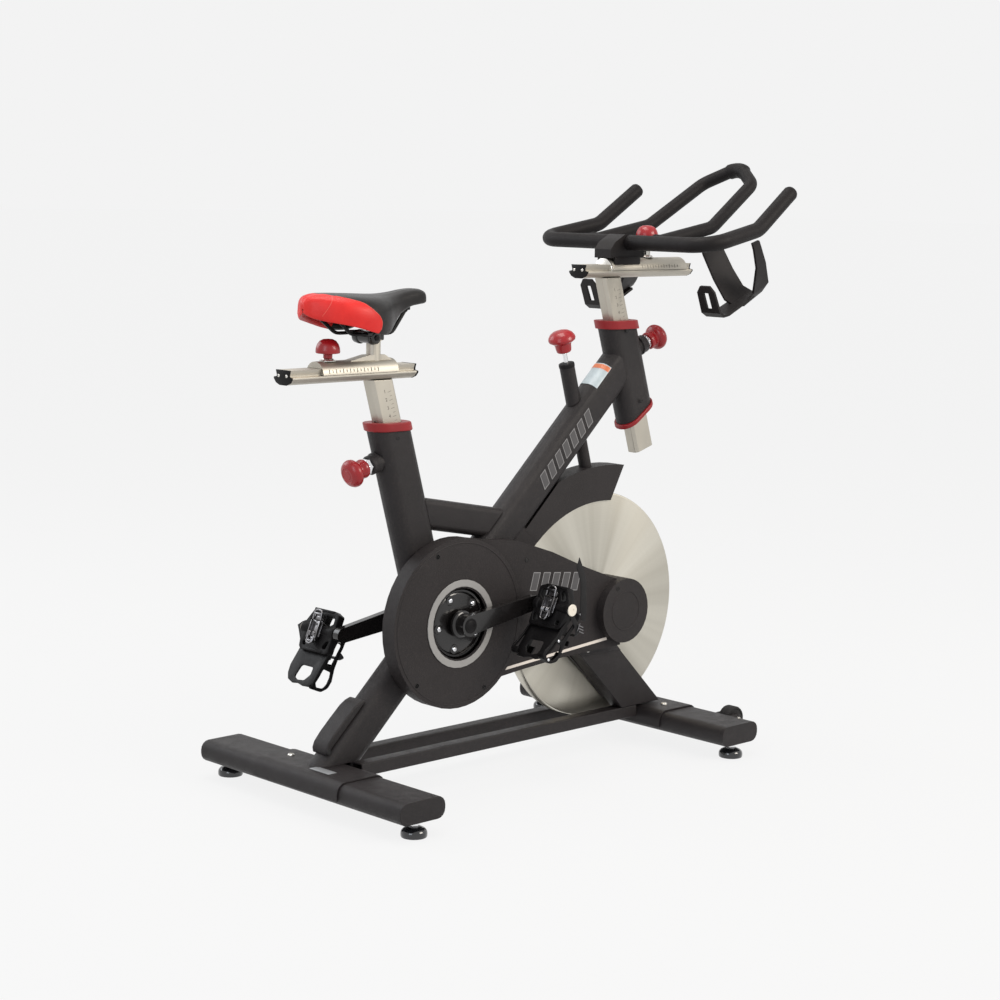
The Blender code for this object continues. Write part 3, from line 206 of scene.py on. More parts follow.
M["cage"] = finish("cage_black_plastic", (0.0065, 0.0048, 0.0048), 0.48,
                   spec=0.22,
                   grain=(1000, 0.4, 0.0003), mottle=(12, 0.16), rvar=0.07)
M["rubber"] = finish("black_rubber", (0.0095, 0.0085, 0.0088), 0.66,
                     spec=0.3,
                     grain=(1200, 0.5, 0.0003), mottle=(20, 0.2), rvar=0.06)
M["foot"] = finish("foot_gloss_rubber", (0.007, 0.0075, 0.009), 0.16,
                   coat=0.6, coat_rough=0.08, grain=(600, 0.08, 0.0002),
                   mottle=(15, 0.2), rvar=0.05)
M["silver_trim"] = finish("silver_trim_ring", (0.27, 0.262, 0.252), 0.44,
                          metal=0.3, spec=0.3, grain=(800, 0.15, 0.0002),
                          mottle=(20, 0.06), rvar=0.06)
# painted highlight: a pale strip of colour standing in for a line of light along the
# guard
M["stripe"] = finish("pale_painted_highlight_stripe", (0.62, 0.56, 0.50), 0.38, metal=0.2,
                     grain=(700, 0.05, 0.0001), mottle=(10, 0.08), rvar=0.05)
M["decal"] = finish("grey_decal_film", (0.20, 0.195, 0.195), 0.42,
                    grain=(900, 0.1, 0.0001), mottle=(24, 0.10), rvar=0.05)
M["decal_dark"] = finish("dark_decal_film", (0.052, 0.049, 0.050), 0.42,
                         grain=(900, 0.1, 0.0001), mottle=(24, 0.10),
                         rvar=0.05)
M["label"] = finish("blank_label_film", (0.33, 0.38, 0.40), 0.38,
                    grain=(400, 0.05, 0.0001), mottle=(40, 0.10), rvar=0.05)
M["label_orange"] = finish("label_colour_strip", (0.50, 0.13, 0.045), 0.38,
                           grain=(400, 0.05, 0.0001), mottle=(40, 0.12),
                           rvar=0.05)
M["plate"] = finish("blank_rating_plate", (0.30, 0.31, 0.32), 0.36, metal=0.5,
                    grain=(600, 0.08, 0.0001), mottle=(30, 0.08), rvar=0.06)
M["mark"] = finish("scale_marks", (0.16, 0.148, 0.128), 0.55, metal=0.2, grain=None,
                   mottle=(50, 0.2), rvar=0.05)
M["cream"] = finish("cream_end_cap", (0.62, 0.57, 0.49), 0.42,
                    grain=(500, 0.1, 0.0002), mottle=(60, 0.10), rvar=0.06)
M["steel_dark"] = finish("clip_steel_dark", (0.20, 0.195, 0.20), 0.24,
                         metal=1.0, grain=(500, 0.15, 0.0002),
                         mottle=(90, 0.35), rvar=0.08)
M["strap"] = finish("woven_strap", (0.006, 0.0055, 0.006), 0.6, spec=0.25,
                    grain=(1400, 0.8, 0.0004), mottle=(40, 0.25), rvar=0.08)


def wheel_material():
    """Turned steel disc: fine circular lines, and radial highlights painted into its
    colour as lighter and darker wedges.
    """
    m, t, b = base_mat("turned_flywheel_steel", (0.55, 0.53, 0.48), 0.34,
                       metal=1.0, aniso=0.6)
    c = t.nodes.new("ShaderNodeTexCoord")
    sub = t.nodes.new("ShaderNodeVectorMath")
    sub.operation = 'SUBTRACT'
    sub.inputs[1].default_value = tuple(P(694, 0, 287))
    t.links.new(c.outputs["Object"], sub.inputs[0])
    s = t.nodes.new("ShaderNodeSeparateXYZ")
    t.links.new(sub.outputs["Vector"], s.inputs["Vector"])

    def mth(op, a, bb=None):
        n = t.nodes.new("ShaderNodeMath")
        n.operation = op
        for i, v in enumerate((a, bb)):
            if v is None:
                continue
            if isinstance(v, (int, float)):
                n.inputs[i].default_value = v
            else:
                t.links.new(v, n.inputs[i])
        return n.outputs[0]

    X, Z = s.outputs["X"], s.outputs["Z"]
    r = mth('SQRT', mth('ADD', mth('MULTIPLY', X, X), mth('MULTIPLY', Z, Z)))
    ang = mth('ARCTAN2', Z, X)
    # painted highlights: lighter and darker radial wedges in the base colour, from
    # 1D noise of the angle, wrapped by cos and sin; the same noise varies the
    # roughness
    cmb = t.nodes.new("ShaderNodeCombineXYZ")
    t.links.new(mth('COSINE', ang), cmb.inputs["X"])
    t.links.new(mth('SINE', ang), cmb.inputs["Y"])
    fl = t.nodes.new("ShaderNodeTexNoise")
    fl.inputs["Scale"].default_value = 2.6
    fl.inputs["Detail"].default_value = 3
    t.links.new(cmb.outputs["Vector"], fl.inputs["Vector"])
    k = remap(t, fl.outputs["Fac"], 0.32, 0.68, 0.0, 1.0)
    col = mixc(t, k, (0.44, 0.415, 0.355), (0.66, 0.63, 0.55))
    # circular lathe lines
    ln = t.nodes.new("ShaderNodeTexNoise")
    ln.noise_dimensions = '1D'
    ln.inputs["Scale"].default_value = 900
    ln.inputs["Detail"].default_value = 2
    t.links.new(r, ln.inputs["W"])
    kl = remap(t, ln.outputs["Fac"], 0.3, 0.7, 0.0, 0.22)
    col = mixc(t, kl, col, (0.30, 0.29, 0.26))
    t.links.new(col, b.inputs["Base Color"])
    t.links.new(remap(t, fl.outputs["Fac"], 0.3, 0.7, 0.42, 0.28),
                b.inputs["Roughness"])
    bp = t.nodes.new("ShaderNodeBump")
    bp.inputs["Strength"].default_value = 0.12
    bp.inputs["Distance"].default_value = 0.0003
    t.links.new(ln.outputs["Fac"], bp.inputs["Height"])
    t.links.new(bp.outputs["Normal"], b.inputs["Normal"])
    tg = t.nodes.new("ShaderNodeTangent")
    tg.direction_type = 'RADIAL'
    tg.axis = 'Y'
    t.links.new(tg.outputs["Tangent"], b.inputs["Tangent"])
    return m


M["wheel"] = wheel_material()


# =================================================================== geometry
def smooth_group():
    g = bpy.data.node_groups.new("smooth_by_angle", 'GeometryNodeTree')
    g.interface.new_socket("Geometry", in_out='INPUT',
                           socket_type='NodeSocketGeometry')
    g.interface.new_socket("Geometry", in_out='OUTPUT',
                           socket_type='NodeSocketGeometry')
    i = g.nodes.new("NodeGroupInput")
    o = g.nodes.new("NodeGroupOutput")
    a = g.nodes.new("GeometryNodeSetShadeSmooth")
    a.domain = 'FACE'
    e = g.nodes.new("GeometryNodeSetShadeSmooth")
    e.domain = 'EDGE'
    e.inputs["Shade Smooth"].default_value = False
    ang = g.nodes.new("GeometryNodeInputMeshEdgeAngle")
    cmp = g.nodes.new("FunctionNodeCompare")
    cmp.data_type = 'FLOAT'
    cmp.operation = 'GREATER_THAN'
    cmp.inputs[1].default_value = math.radians(42)
    g.links.new(ang.outputs["Unsigned Angle"], cmp.inputs[0])
    g.links.new(i.outputs[0], a.inputs["Geometry"])
    g.links.new(a.outputs[0], e.inputs["Geometry"])
    g.links.new(cmp.outputs[0], e.inputs["Selection"])
    g.links.new(e.outputs[0], o.inputs[0])
    return g


SMOOTH = smooth_group()


def dress(node, mat, bevel=1.2, seg=2, clamp=True, angle=32):
    """Material and softened edges for a CAD node that stays."""
    ob = NODES[node]
    me = ob.data
    me.materials.clear()
    me.materials.append(M[mat])
    if "custom_normal" in me.attributes:
        me.attributes.remove(me.attributes["custom_normal"])
    for p in me.polygons:
        p.use_smooth = True
        p.material_index = 0
    w = ob.modifiers.new("weld", 'WELD')
    w.merge_threshold = 0.000005
    d = ob.modifiers.new("flat", 'DECIMATE')
    d.decimate_type = 'DISSOLVE'
    d.angle_limit = math.radians(0.4)
    if bevel:
        b = ob.modifiers.new("edges", 'BEVEL')
        b.width = bevel / 1000
        b.segments = seg
        b.limit_method = 'ANGLE'
        b.angle_limit = math.radians(angle)
        b.use_clamp_overlap = clamp
    s = ob.modifiers.new("smooth", 'NODES')
    s.node_group = SMOOTH
    n = ob.modifiers.new("normals", 'WEIGHTED_NORMAL')
    n.keep_sharp = True
    n.weight = 50
    return ob


def put(name, bm, mat, body, smooth=38, recalc=True):
    bmesh.ops.remove_doubles(bm, verts=bm.verts, dist=2e-6)
    if recalc:
        bmesh.ops.recalc_face_normals(bm, faces=bm.faces)
    me = bpy.data.meshes.new(name)
    bm.to_mesh(me)
    bm.free()
    for q in (mat if isinstance(mat, (list, tuple)) else [mat]):
        me.materials.append(M[q])
    me.shade_smooth()
    me.set_sharp_from_angle(angle=math.radians(smooth))
    ob = bpy.data.objects.new(name, me)
    SCENE.collection.objects.link(ob)
    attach(ob, body)
    return ob


def basis(axis):
    w = Vector(axis).normalized()
    a = Vector((0, 1, 0)) if abs(w.y) < 0.9 else Vector((1, 0, 0))
    u = a.cross(w).normalized()
    return u, w.cross(u), w


def fillet(pts, radii, n=6):
    """Polyline with rounded inner corners."""
    pts = [Vector(p) for p in pts]
    if not isinstance(radii, (list, tuple)):
        radii = [radii] * (len(pts) - 2)
    out = [pts[0]]
    for i in range(1, len(pts) - 1):
        a, b, c = pts[i - 1], pts[i], pts[i + 1]
        u, v = (a - b).normalized(), (c - b).normalized()
        ang = u.angle(v)
        if radii[i - 1] <= 0 or ang > 3.1:
            out.append(b)
            continue
        d = radii[i - 1] / math.tan(ang / 2)
        d = min(d, (a - b).length * 0.48, (c - b).length * 0.48)
        r = d * math.tan(ang / 2)
        mid = (u + v).normalized()
        cen = b + mid * (r / math.sin(ang / 2))
        p0, p1 = b + u * d, b + v * d
        e0, e1 = p0 - cen, p1 - cen
        th = e0.angle(e1)
        for k in range(n + 1):
            s = k / n
            out.append(cen + (e0 * math.sin((1 - s) * th) +
                              e1 * math.sin(s * th)) / math.sin(th))
    out.append(pts[-1])
    return out


def turned(name, prof, origin, axis, mat, body, steps=48,
           loop=False, smooth=38, round_r=0.0, bm=None):
    """Surface of revolution. prof: (radius, height[, 'hex']) in mm."""
    if round_r:
        q = [Vector((p[0], p[1], 0)) for p in prof]
        if loop:
            q = [(q[-1] + q[0]) / 2] + q + [(q[-1] + q[0]) / 2]
        q = fillet(q, round_r, 3)
        if loop:
            q = q[:-1]
        prof = [(max(0.0, v.x), v.y) for v in q]
    u, v, w = basis(axis)
    o = P(*origin)
    own = bm is None
    if own:
        bm = bmesh.new()
    rings = []
    for p in prof:
        r, h = p[0] / 1000, p[1] / 1000
        c = o + w * h
        if r < 1e-7:
            rings.append([bm.verts.new(c)])
            continue
        ring = []
        for k in range(steps):
            th = 2 * math.pi * k / steps
            rr = r
            if len(p) > 2:
                q = (th + math.pi / 6) % (math.pi / 3) - math.pi / 6
                rr = r * math.cos(math.pi / 6) / math.cos(q)
            ring.append(bm.verts.new(c + u * rr * math.cos(th) +
                                     v * rr * math.sin(th)))
        rings.append(ring)
    pairs = list(zip(rings, rings[1:]))
    if loop:
        pairs.append((rings[-1], rings[0]))
    for a, b in pairs:
        if len(a) == 1 and len(b) == 1:
            continue
        for k in range(steps):
            j = (k + 1) % steps
            if len(a) == 1:
                bm.faces.new((a[0], b[j], b[k]))
            elif len(b) == 1:
                bm.faces.new((a[k], a[j], b[0]))
            else:
                bm.faces.new((a[k], a[j], b[j], b[k]))
    if not own:
        return bm
    return put(name, bm, mat, body, smooth)


def tube_bm(bm, pts, rad, sides=20, dome=True, flat=1.0, up=None):
    """Round tube through points in mm; rad may be a list; domed ends."""
    pts = [P(*p) for p in pts]
    n = len(pts)
    rad = rad if isinstance(rad, (list, tuple)) else [rad] * n
    tang = []
    for i in range(n):
        a, b = pts[max(0, i - 1)], pts[min(n - 1, i + 1)]
        tang.append((b - a).normalized())
    u = Vector(up).normalized() if up else basis(tang[0])[0]
    rings = []
    for i in range(n):
        u = (u - tang[i] * u.dot(tang[i])).normalized()
        v = tang[i].cross(u)
        rings.append([bm.verts.new(pts[i] + (u * math.cos(2*math.pi*k/sides) +
                     v * math.sin(2*math.pi*k/sides) * flat) * rad[i] / 1000)
                     for k in range(sides)])
    for a, b in zip(rings, rings[1:]):
        for k in range(sides):
            j = (k + 1) % sides
            bm.faces.new((a[k], a[j], b[j], b[k]))
    for ring, cen, dr, r in ((rings[0], pts[0], -tang[0], rad[0]),
                             (rings[-1], pts[-1], tang[-1], rad[-1])):
        prev = ring
        if dome:
            for s in (30, 60):
                q = math.radians(s)
                new = [bm.verts.new(cen + (x.co - cen) * math.cos(q) +
                                    dr * r / 1000 * math.sin(q) * 0.6)
                       for x in ring]
                for k in range(sides):
                    j = (k + 1) % sides
                    bm.faces.new((prev[k], prev[j], new[j], new[k]))
                prev = new
        bm.faces.new(prev)
    return bm


def tube(name, pts, rad, mat, body, slot=None, **kw):
    return put(name, tube_bm(bmesh.new(), pts, rad, **kw), mat, body)


def block_bm(bm, centre, half, rot=None, bevel=0.6, seg=2):
    """Box with softened edges; rot columns are its axes."""
    r = bmesh.ops.create_cube(bm, size=2.0)
    vs = r["verts"]
    m = Matrix.Diagonal((half[0] / 1000, half[1] / 1000, half[2] / 1000, 1))
    R = (rot or Matrix.Identity(3)).to_4x4()
    bmesh.ops.transform(bm, matrix=Matrix.Translation(P(*centre)) @ R @ m,
                        verts=vs)
    if bevel:
        es = list({e for v in vs for e in v.link_edges})
        bmesh.ops.bevel(bm, geom=es, offset=bevel / 1000, segments=seg,
                        affect='EDGES', profile=0.5)
    return bm


def block(name, centre, half, mat, body, rot=None, bevel=0.6, seg=2):
    return put(name, block_bm(bmesh.new(), centre, half, rot, bevel, seg),
               mat, body)


def prism_bm(bm, pts, off, bevel=0.0, seg=2):
    """Extruded outline: pts are 3D points in mm, off the extrusion vector."""
    vs = [bm.verts.new(P(*p)) for p in pts]
    f = bm.faces.new(vs)
    r = bmesh.ops.extrude_face_region(bm, geom=[f])
    nv = [g for g in r["geom"] if isinstance(g, bmesh.types.BMVert)]
    bmesh.ops.translate(bm, vec=Vector(off) / 1000, verts=nv)
    if bevel:
        es = list({e for v in vs + nv for e in v.link_edges})
        es = [e for e in es if len(e.link_faces) == 2 and
              e.calc_face_angle(0) > 0.6]
        bmesh.ops.bevel(bm, geom=es, offset=bevel / 1000, segments=seg,
                        affect='EDGES', profile=0.5)
    return bm


def axes_from(x, y):
    x = Vector(x).normalized()
    y = Vector(y)
    y = (y - x * y.dot(x)).normalized()
    return Matrix((x, y, x.cross(y))).transposed()


def bolt(name, pos, axis, r, h, mat, body, kind="button"):
    if kind == "button":
        prof = [(r, -0.6), (r, h*0.25), (r*0.9, h*0.6), (r*0.72, h*0.9),
                (r*0.52, h), (r*0.50, h, 'hex'), (r*0.46, h*0.35, 'hex'),
                (0, h*0.35)]
    elif kind == "cap":
        prof = [(r, -0.6), (r, h*0.85), (r*0.9, h), (r*0.55, h),
                (r*0.52, h, 'hex'), (r*0.5, h*0.4, 'hex'), (0, h*0.4)]
    elif kind == "hexnut":
        prof = [(r, -0.6, 'hex'), (r, h*0.85, 'hex'), (r*0.86, h), (r*0.5, h),
                (r*0.5, h*1.5), (r*0.4, h*1.7), (0, h*1.7)]
    elif kind == "recess":
        prof = [(r, -0.6), (r, 0.5), (r*0.85, 0.7), (r*0.78, -0.1),
                (r*0.3, -0.1), (r*0.3, 0.1), (0, 0.1)]
    else:
        prof = [(r, -0.6), (r, h*0.4), (r*0.8, h*0.8), (r*0.5, h), (0, h)]
    return turned(name, prof, pos, axis, mat, body, steps=36)


# ------------------------------------------------------- CAD nodes that stay
for n in ("rear_stabilizer", "front_stabilizer"):
    dress(n, "powder", 2.0, 3)
for n in ("rear_sleeve", "front_sleeve"):
    dress(n, "powder", 0.8)
for n in ("base_rail_right", "base_rail_left", "bridge_tube"):
    dress(n, "powder", 1.2)
for n in ("main_tube", "seat_tube", "head_tube", "brake_tube_upper",
          "bottom_bracket_shell"):
    dress(n, "powder", 0.8)
dress("rear_gusset", "powder", 5.0, 4)
for n in ("fork_leg_right", "fork_leg_left"):
    dress(n, "powder", 2.0, 3)
for n in ("fork_plate_right", "fork_plate_left"):
    dress(n, "powder", 1.0)
dress("belt_guard_outer", "guard", 2.2, 3)
dress("belt_guard_inner", "guard", 0.4)
dress("flywheel_shroud", "guard", 1.2)
arc = [math.radians(a) for a in (129.5, 132, 135, 138, 141, 143)]
for tag, y in (("right", -21.8), ("left", 19.0)):
    put("shroud_tail_" + tag, prism_bm(bmesh.new(), [
        (701 + 270.4 * math.cos(a), y, 226 + 270.4 * math.sin(a))
        for a in arc] + [(428, y, 392), (468, y, 476)],
        (0, 2.8, 0)), "guard", "frame")
dress("guard_ring", "silver_trim", 0.5)
dress("drive_belt", "rubber", 0.3)
for n in ("seat_tube_collar", "head_collar_top", "head_collar_bottom"):
    dress(n, "red_trim", 2.4, 3)
dress("crank_axle", "zinc", 0.5)
dress("crank_pulley", "gloss", 0.8)
for n in ("crank_right", "crank_left"):
    dress(n, "gloss", 2.6, 3)
wheel = turned("flywheel_disc", [(10, 15.5), (40.5, 15.5), (42, 14.9),
    (42.4, 14.5), (221.5, 14.5), (224.2, 13.6), (225, 12.0), (225, -12.0),
    (224.2, -13.6), (221.5, -14.5), (42.4, -14.5), (42, -14.9),
    (40.5, -15.5), (10, -15.5)], (694, 0, 287), (0, 1, 0), "wheel",
    "flywheel_set", steps=160, loop=True, smooth=30)
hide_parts("flywheel")
dress("flywheel_axle", "zinc", 0.5)
for n in ("seat_post", "bar_post"):
    dress(n, "alu_post", 1.0)
for n in ("seat_rail", "bar_rail"):
    dress(n, "alu", 0.5)
dress("seat_carriage", "alu", 1.0)
z0 = 936.0
arch = [(24.5 * math.cos(math.radians(a)),
         z0 + 15.35 + 24.5 * math.sin(math.radians(a)) * 0.93)
        for a in range(4, 177, 8)]
sec = ([(24.5, z0 + 14.2)] + arch + [(-24.5, z0 + 14.2)] +
       [(-17.0, z0 + 15.55), (-17.0, z0 + 18), (-19.6, z0 + 26.35),
        (19.6, z0 + 26.35), (17.0, z0 + 18), (17.0, z0 + 15.55)])
bc = put("bar_carriage_arch", prism_bm(bmesh.new(),
         [(715.5, y, z) for y, z in sec], (216.5, 0, 0), bevel=0.8), "alu",
         "bar_slider")
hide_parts("bar_carriage")
dress("brake_rod", "chrome", 0.4)
dress("saddle_rails", "black", 0.0)
dress("handlebar_stem", "cage", 3.0, 3)
for n in ("bottle_cage_right", "bottle_cage_left"):
    dress(n, "cage", 1.6, 2)


# ------------------------------------------------------------------- saddle
def spline(xs, ys, x):
    """Catmull-Rom through (xs, ys)."""
    i = max(0, min(len(xs) - 2, next((k for k in range(len(xs) - 1)
                                      if x <= xs[k + 1]), len(xs) - 2)))
    x0, x1 = xs[i], xs[i + 1]
    t = (x - x0) / (x1 - x0)
    y0, y1 = ys[i], ys[i + 1]
    m0 = ((y1 - ys[i - 1]) / (x1 - xs[i - 1]) if i > 0 else
          (y1 - y0) / (x1 - x0)) * (x1 - x0)
    m1 = ((ys[i + 2] - y0) / (xs[i + 2] - x0) if i + 2 < len(xs) else
          (y1 - y0) / (x1 - x0)) * (x1 - x0)
    t2, t3 = t*t, t*t*t
    return ((2*t3 - 3*t2 + 1)*y0 + (t3 - 2*t2 + t)*m0 +
            (-2*t3 + 3*t2)*y1 + (t3 - t2)*m1)


SX = [-40, -35, -24, -8, 12, 36, 62, 88, 112, 134, 160, 190, 215, 232, 240]
SW = [6, 19, 34, 50, 64, 73, 76, 71, 60, 46, 33, 26, 22, 17, 8]
ST = [905, 913, 918, 920.5, 920.5, 920, 919, 918, 917, 917, 919.5, 924, 925,
      921, 912]
SS = [888, 881, 876, 872, 868, 862, 855, 850, 852, 864, 882, 894, 897.5, 899,
      902]
SMID = [895, 891, 889, 888, 888, 888, 888, 889, 890, 894, 900, 906, 908, 907,
        906]


def saddle_section(x):
    w, t, s, m = (spline(SX, a, x) for a in (SW, ST, SS, SMID))
    h = t - s
    th = min(11.0, w * 0.42)
    dip = 1.6 * math.exp(-((x - 40) / 55) ** 2)
    sec = [(0, t - dip), (w*0.10, t - dip*0.7), (w*0.28, t + 0.2),
           (w*0.50, t - h*0.035), (w*0.70, t - h*0.09),
           (w*0.86, t - h*0.20), (w*0.955, t - h*0.36),
           (w*0.995, t - h*0.55), (w, t - h*0.72), (w*0.985, t - h*0.88),
           (w - 2.2, s + 0.8), (w - 4.5, s - 0.2), (w - 7.0, s + 1.2),
           (w - th, s + 5), (w - th - 1.5, (s + m) / 2),
           (max(1.5, (w - th) * 0.8), m - 2), (max(1.0, w*0.35), m), (0, m)]
    return sec


def saddle_mesh():
    bm = bmesh.new()
    nx, sub = 84, 3
    rings = []
    for i in range(nx + 1):
        q = i / nx
        x = -40 + 280 * (0.5 - 0.5 * math.cos(math.pi * q)) * 1.0
        x = 0.35 * (-40 + 280 * q) + 0.65 * x
        sec = saddle_section(x)
        half = []
        for k in range(len(sec) - 1):
            p0 = sec[max(k - 1, 0)]
            p1, p2 = sec[k], sec[k + 1]
            p3 = sec[min(k + 2, len(sec) - 1)]
            if k == 0:
                p0 = (-p2[0], p2[1])
            for j in range(sub):
                t = j / sub
                t2, t3 = t*t, t*t*t
                half.append(tuple(0.5 * ((2*b) + (-a + c)*t +
                            (2*a - 5*b + 4*c - d)*t2 +
                            (-a + 3*b - 3*c + d)*t3)
                            for a, b, c, d in zip(p0, p1, p2, p3)))
        half.append(sec[-1])
        full = half + [(-y, z) for y, z in reversed(half[1:-1])]
        rings.append([bm.verts.new(P(x, y, z)) for y, z in full])
    n = len(rings[0])
    for a, b in zip(rings, rings[1:]):
        for k in range(n):
            j = (k + 1) % n
            bm.faces.new((a[k], a[j], b[j], b[k]))
    bm.faces.new(rings[0])
    bm.faces.new(list(reversed(rings[-1])))
    return bm


# where the coloured side panel ends, going forwards, for each height
ZB = [850, 858, 866, 874, 883, 892, 899, 906, 913, 918, 925]
XB = [70, 77, 79.5, 79, 73, 62, 53, 43, 22, 3, -16]


def saddle_material():
    m, t, b = base_mat("saddle_two_tone_vinyl", (0.6, 0.03, 0.02), 0.36,
                       coat=0.03, coat_rough=0.2)
    c = t.nodes.new("ShaderNodeTexCoord")
    s = t.nodes.new("ShaderNodeSeparateXYZ")
    t.links.new(c.outputs["Object"], s.inputs["Vector"])
    zn = remap(t, s.outputs["Z"], 0.850, 0.925, 0.0, 1.0)
    cv = t.nodes.new("ShaderNodeFloatCurve")
    cu = cv.mapping.curves[0]
    pts = [((z - 850) / 75, (x + 40) / 140) for z, x in zip(ZB, XB)]
    cu.points[0].location = pts[0]
    cu.points[1].location = pts[-1]
    for q in pts[1:-1]:
        cu.points.new(*q)
    cv.mapping.update()
    t.links.new(zn, cv.inputs["Value"])
    xb = remap(t, cv.outputs["Value"], 0.0, 1.0, (-40 - XM) / 1000,
               (100 - XM) / 1000)
    d = t.nodes.new("ShaderNodeMath")
    d.operation = 'SUBTRACT'
    t.links.new(xb, d.inputs[0])
    t.links.new(s.outputs["X"], d.inputs[1])
    k = remap(t, d.outputs[0], -0.0006, 0.0006, 0.0, 1.0)
    n1 = noise(t, 22, 4, 0.6)
    kr = remap(t, n1.outputs["Fac"], 0.3, 0.7, 0.0, 1.0)
    red = mixc(t, kr, (0.44, 0.012, 0.011), (0.55, 0.020, 0.016))
    blk = mixc(t, kr, (0.0045, 0.0038, 0.0036), (0.0085, 0.0070, 0.0064))
    under = remap(t, s.outputs["Z"], 0.8850, 0.8862, 1.0, 0.0)
    col = mixc(t, k, blk, red)
    t.links.new(col, b.inputs["Base Color"])
    t.links.new(remap(t, k, 0, 1, 0.33, 0.42), b.inputs["Roughness"])
    b.inputs["Specular IOR Level"].default_value = 0.22
    # fine leather grain
    v = t.nodes.new("ShaderNodeTexVoronoi")
    v.inputs["Scale"].default_value = 620
    t.links.new(c.outputs["Object"], v.inputs["Vector"])
    n2 = noise(t, 260, 5, 0.6)
    add = t.nodes.new("ShaderNodeMath")
    add.operation = 'ADD'
    t.links.new(v.outputs["Distance"], add.inputs[0])
    t.links.new(n2.outputs["Fac"], add.inputs[1])
    bp = t.nodes.new("ShaderNodeBump")
    bp.inputs["Strength"].default_value = 0.35
    bp.inputs["Distance"].default_value = 0.0005
    t.links.new(add.outputs[0], bp.inputs["Height"])
    t.links.new(bp.outputs["Normal"], b.inputs["Normal"])
    return m


M["saddle"] = saddle_material()
M["piping"] = finish("saddle_seam_piping", (0.58, 0.050, 0.035), 0.5,
                     grain=(1800, 0.5, 0.0003), mottle=(60, 0.12), rvar=0.05)
saddle = put("saddle_cover", saddle_mesh(), "saddle", "saddle_set",
             smooth=60)
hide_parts("saddle")


def on_saddle(x, z):
    """Outer side point of the saddle at x and height z."""
    sec = saddle_section(x)[:11]
    for (y0, z0), (y1, z1) in zip(sec, sec[1:]):
        if z1 <= z <= z0 and z0 > z1:
            q = (z0 - z) / (z0 - z1)
            return y0 + (y1 - y0) * q
    return sec[-1][0] if z < sec[-1][1] else 0.0


for side, tag in ((-1, "right"), (1, "left")):
    line = []
    for i in range(41):
        z = 917.6 - (917.6 - 858) * i / 40
        x = spline(ZB, XB, z)
        line.append((x, side * (on_saddle(x, z) + 0.1), z))
    tube("saddle_seam_" + tag, line, 0.75, "piping", "saddle_set",
         "red_vinyl", sides=8)
    line = []
    for i in range(25):
        q = i / 24
        x = -3 - 20.5 * q ** 0.8
        z = 917.3 - 34 * q
        line.append((x, side * (on_saddle(x, z) + 0.1), z))
    tube("saddle_rear_seam_" + tag, line, 0.7, "piping", "saddle_set",
         "red_vinyl", sides=8)

# shell plate under the saddle, between the rails
bm = bmesh.new()
for y in (-26, 26):
    block_bm(bm, (6, y, 883), (9, 5, 5), bevel=1.5)
block_bm(bm, (191, 0, 891), (8, 12, 4), bevel=1.5)
put("saddle_rail_sockets", bm, "black", "saddle_set")

# clamp on the post: cross bolt, cheeks, rail grips
bm = turned("", [(0, -29), (8, -29), (10.6, -28.2), (11.8, -26.4),
                 (11.8, -20), (13.0, -19.4), (13.0, -15), (11, -14),
                 (11, 14), (13.0, 15), (13.0, 19.4), (11.8, 20),
                 (11.8, 26.4), (10.6, 28.2), (8, 29), (0, 29)],
            (105, 0, 841), (0, 1, 0), "gloss", "saddle_set", steps=40,
            bm=bmesh.new())
for y in (-22, 22):
    block_bm(bm, (101, y, 848.5), (15, 6, 4.2), bevel=1.4)
block_bm(bm, (121, 0, 843), (15, 14.5, 8.5), bevel=3.0, seg=3)
block_bm(bm, (104, 0, 848.5), (12, 22, 3.6), bevel=1.2)
clamp_ob = put("saddle_clamp_body", bm, "gloss", "saddle_set",
               recalc=True)
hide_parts("saddle_clamp")
for y in (-29.2, 29.2):
    turned("saddle_clamp_nut_%s" % ("r" if y < 0 else "l"),
           [(0, 2.4), (4.0, 2.4), (5.6, 1.6, 'hex'), (5.8, -0.6, 'hex'),
            (0, -0.6)], (105, y, 841), (0, -1 if y < 0 else 1, 0), "black",
           "saddle_set", steps=36)

# ---------------------------------------------------------------- handlebar
BX, BZ = 762.0, 1004.7
horn = fillet([(1027.5, -207.7, 1106), (922, -216.5, 1034.5), (BX, -233, BZ),
               (BX, 233, BZ), (922, 216.5, 1034.5), (1027.5, 207.7, 1106)],
              [55, 48, 48, 55], 12)
loop = fillet([(BX, -85, BZ), (935, -85, 1035), (1078, -66, 1122),
               (1118, 0, 1157), (1078, 66, 1122), (935, 85, 1035),
               (BX, 85, BZ)], [60, 36, 36, 36, 60], 10)


def resample(pts, step):
    pts = [Vector(p) for p in pts]
    out = [pts[0]]
    for a, b in zip(pts, pts[1:]):
        n = max(1, round((b - a).length / step))
        for k in range(1, n + 1):
            out.append(a.lerp(b, k / n))
    return out


hb = bmesh.new()
tube_bm(hb, [tuple(p) for p in resample(horn, 8)], 15.0, sides=28, dome=True)
lp = resample(loop, 4)
tot = [0.0]
for a, b in zip(lp, lp[1:]):
    tot.append(tot[-1] + (b - a).length)
mid = tot[-1] / 2
rad = []
for s in tot:
    q = abs(s - mid)
    rad.append(15.6 if q < 20 else 13.2 + 2.4 * max(0, 1 - (q - 20) / 3)
               if q < 23 else 13.2)
tube_bm(hb, [tuple(p) for p in lp], rad, sides=28, dome=False)
bar = put("handlebar_grip", hb, "foam", "bar_slider")
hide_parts("handlebar")
# rolled ends of the coating where the loop is welded on
for side, tag in ((-1, "right"), (1, "left")):
        turned("loop_weld_" + tag, [(13.0, 26), (14.2, 20), (15.6, 15),
           (16.5, 11), (14, 8)], (BX, side * 85, BZ),
           (173, 0, 30.3), "foam", "bar_slider",
           steps=32)

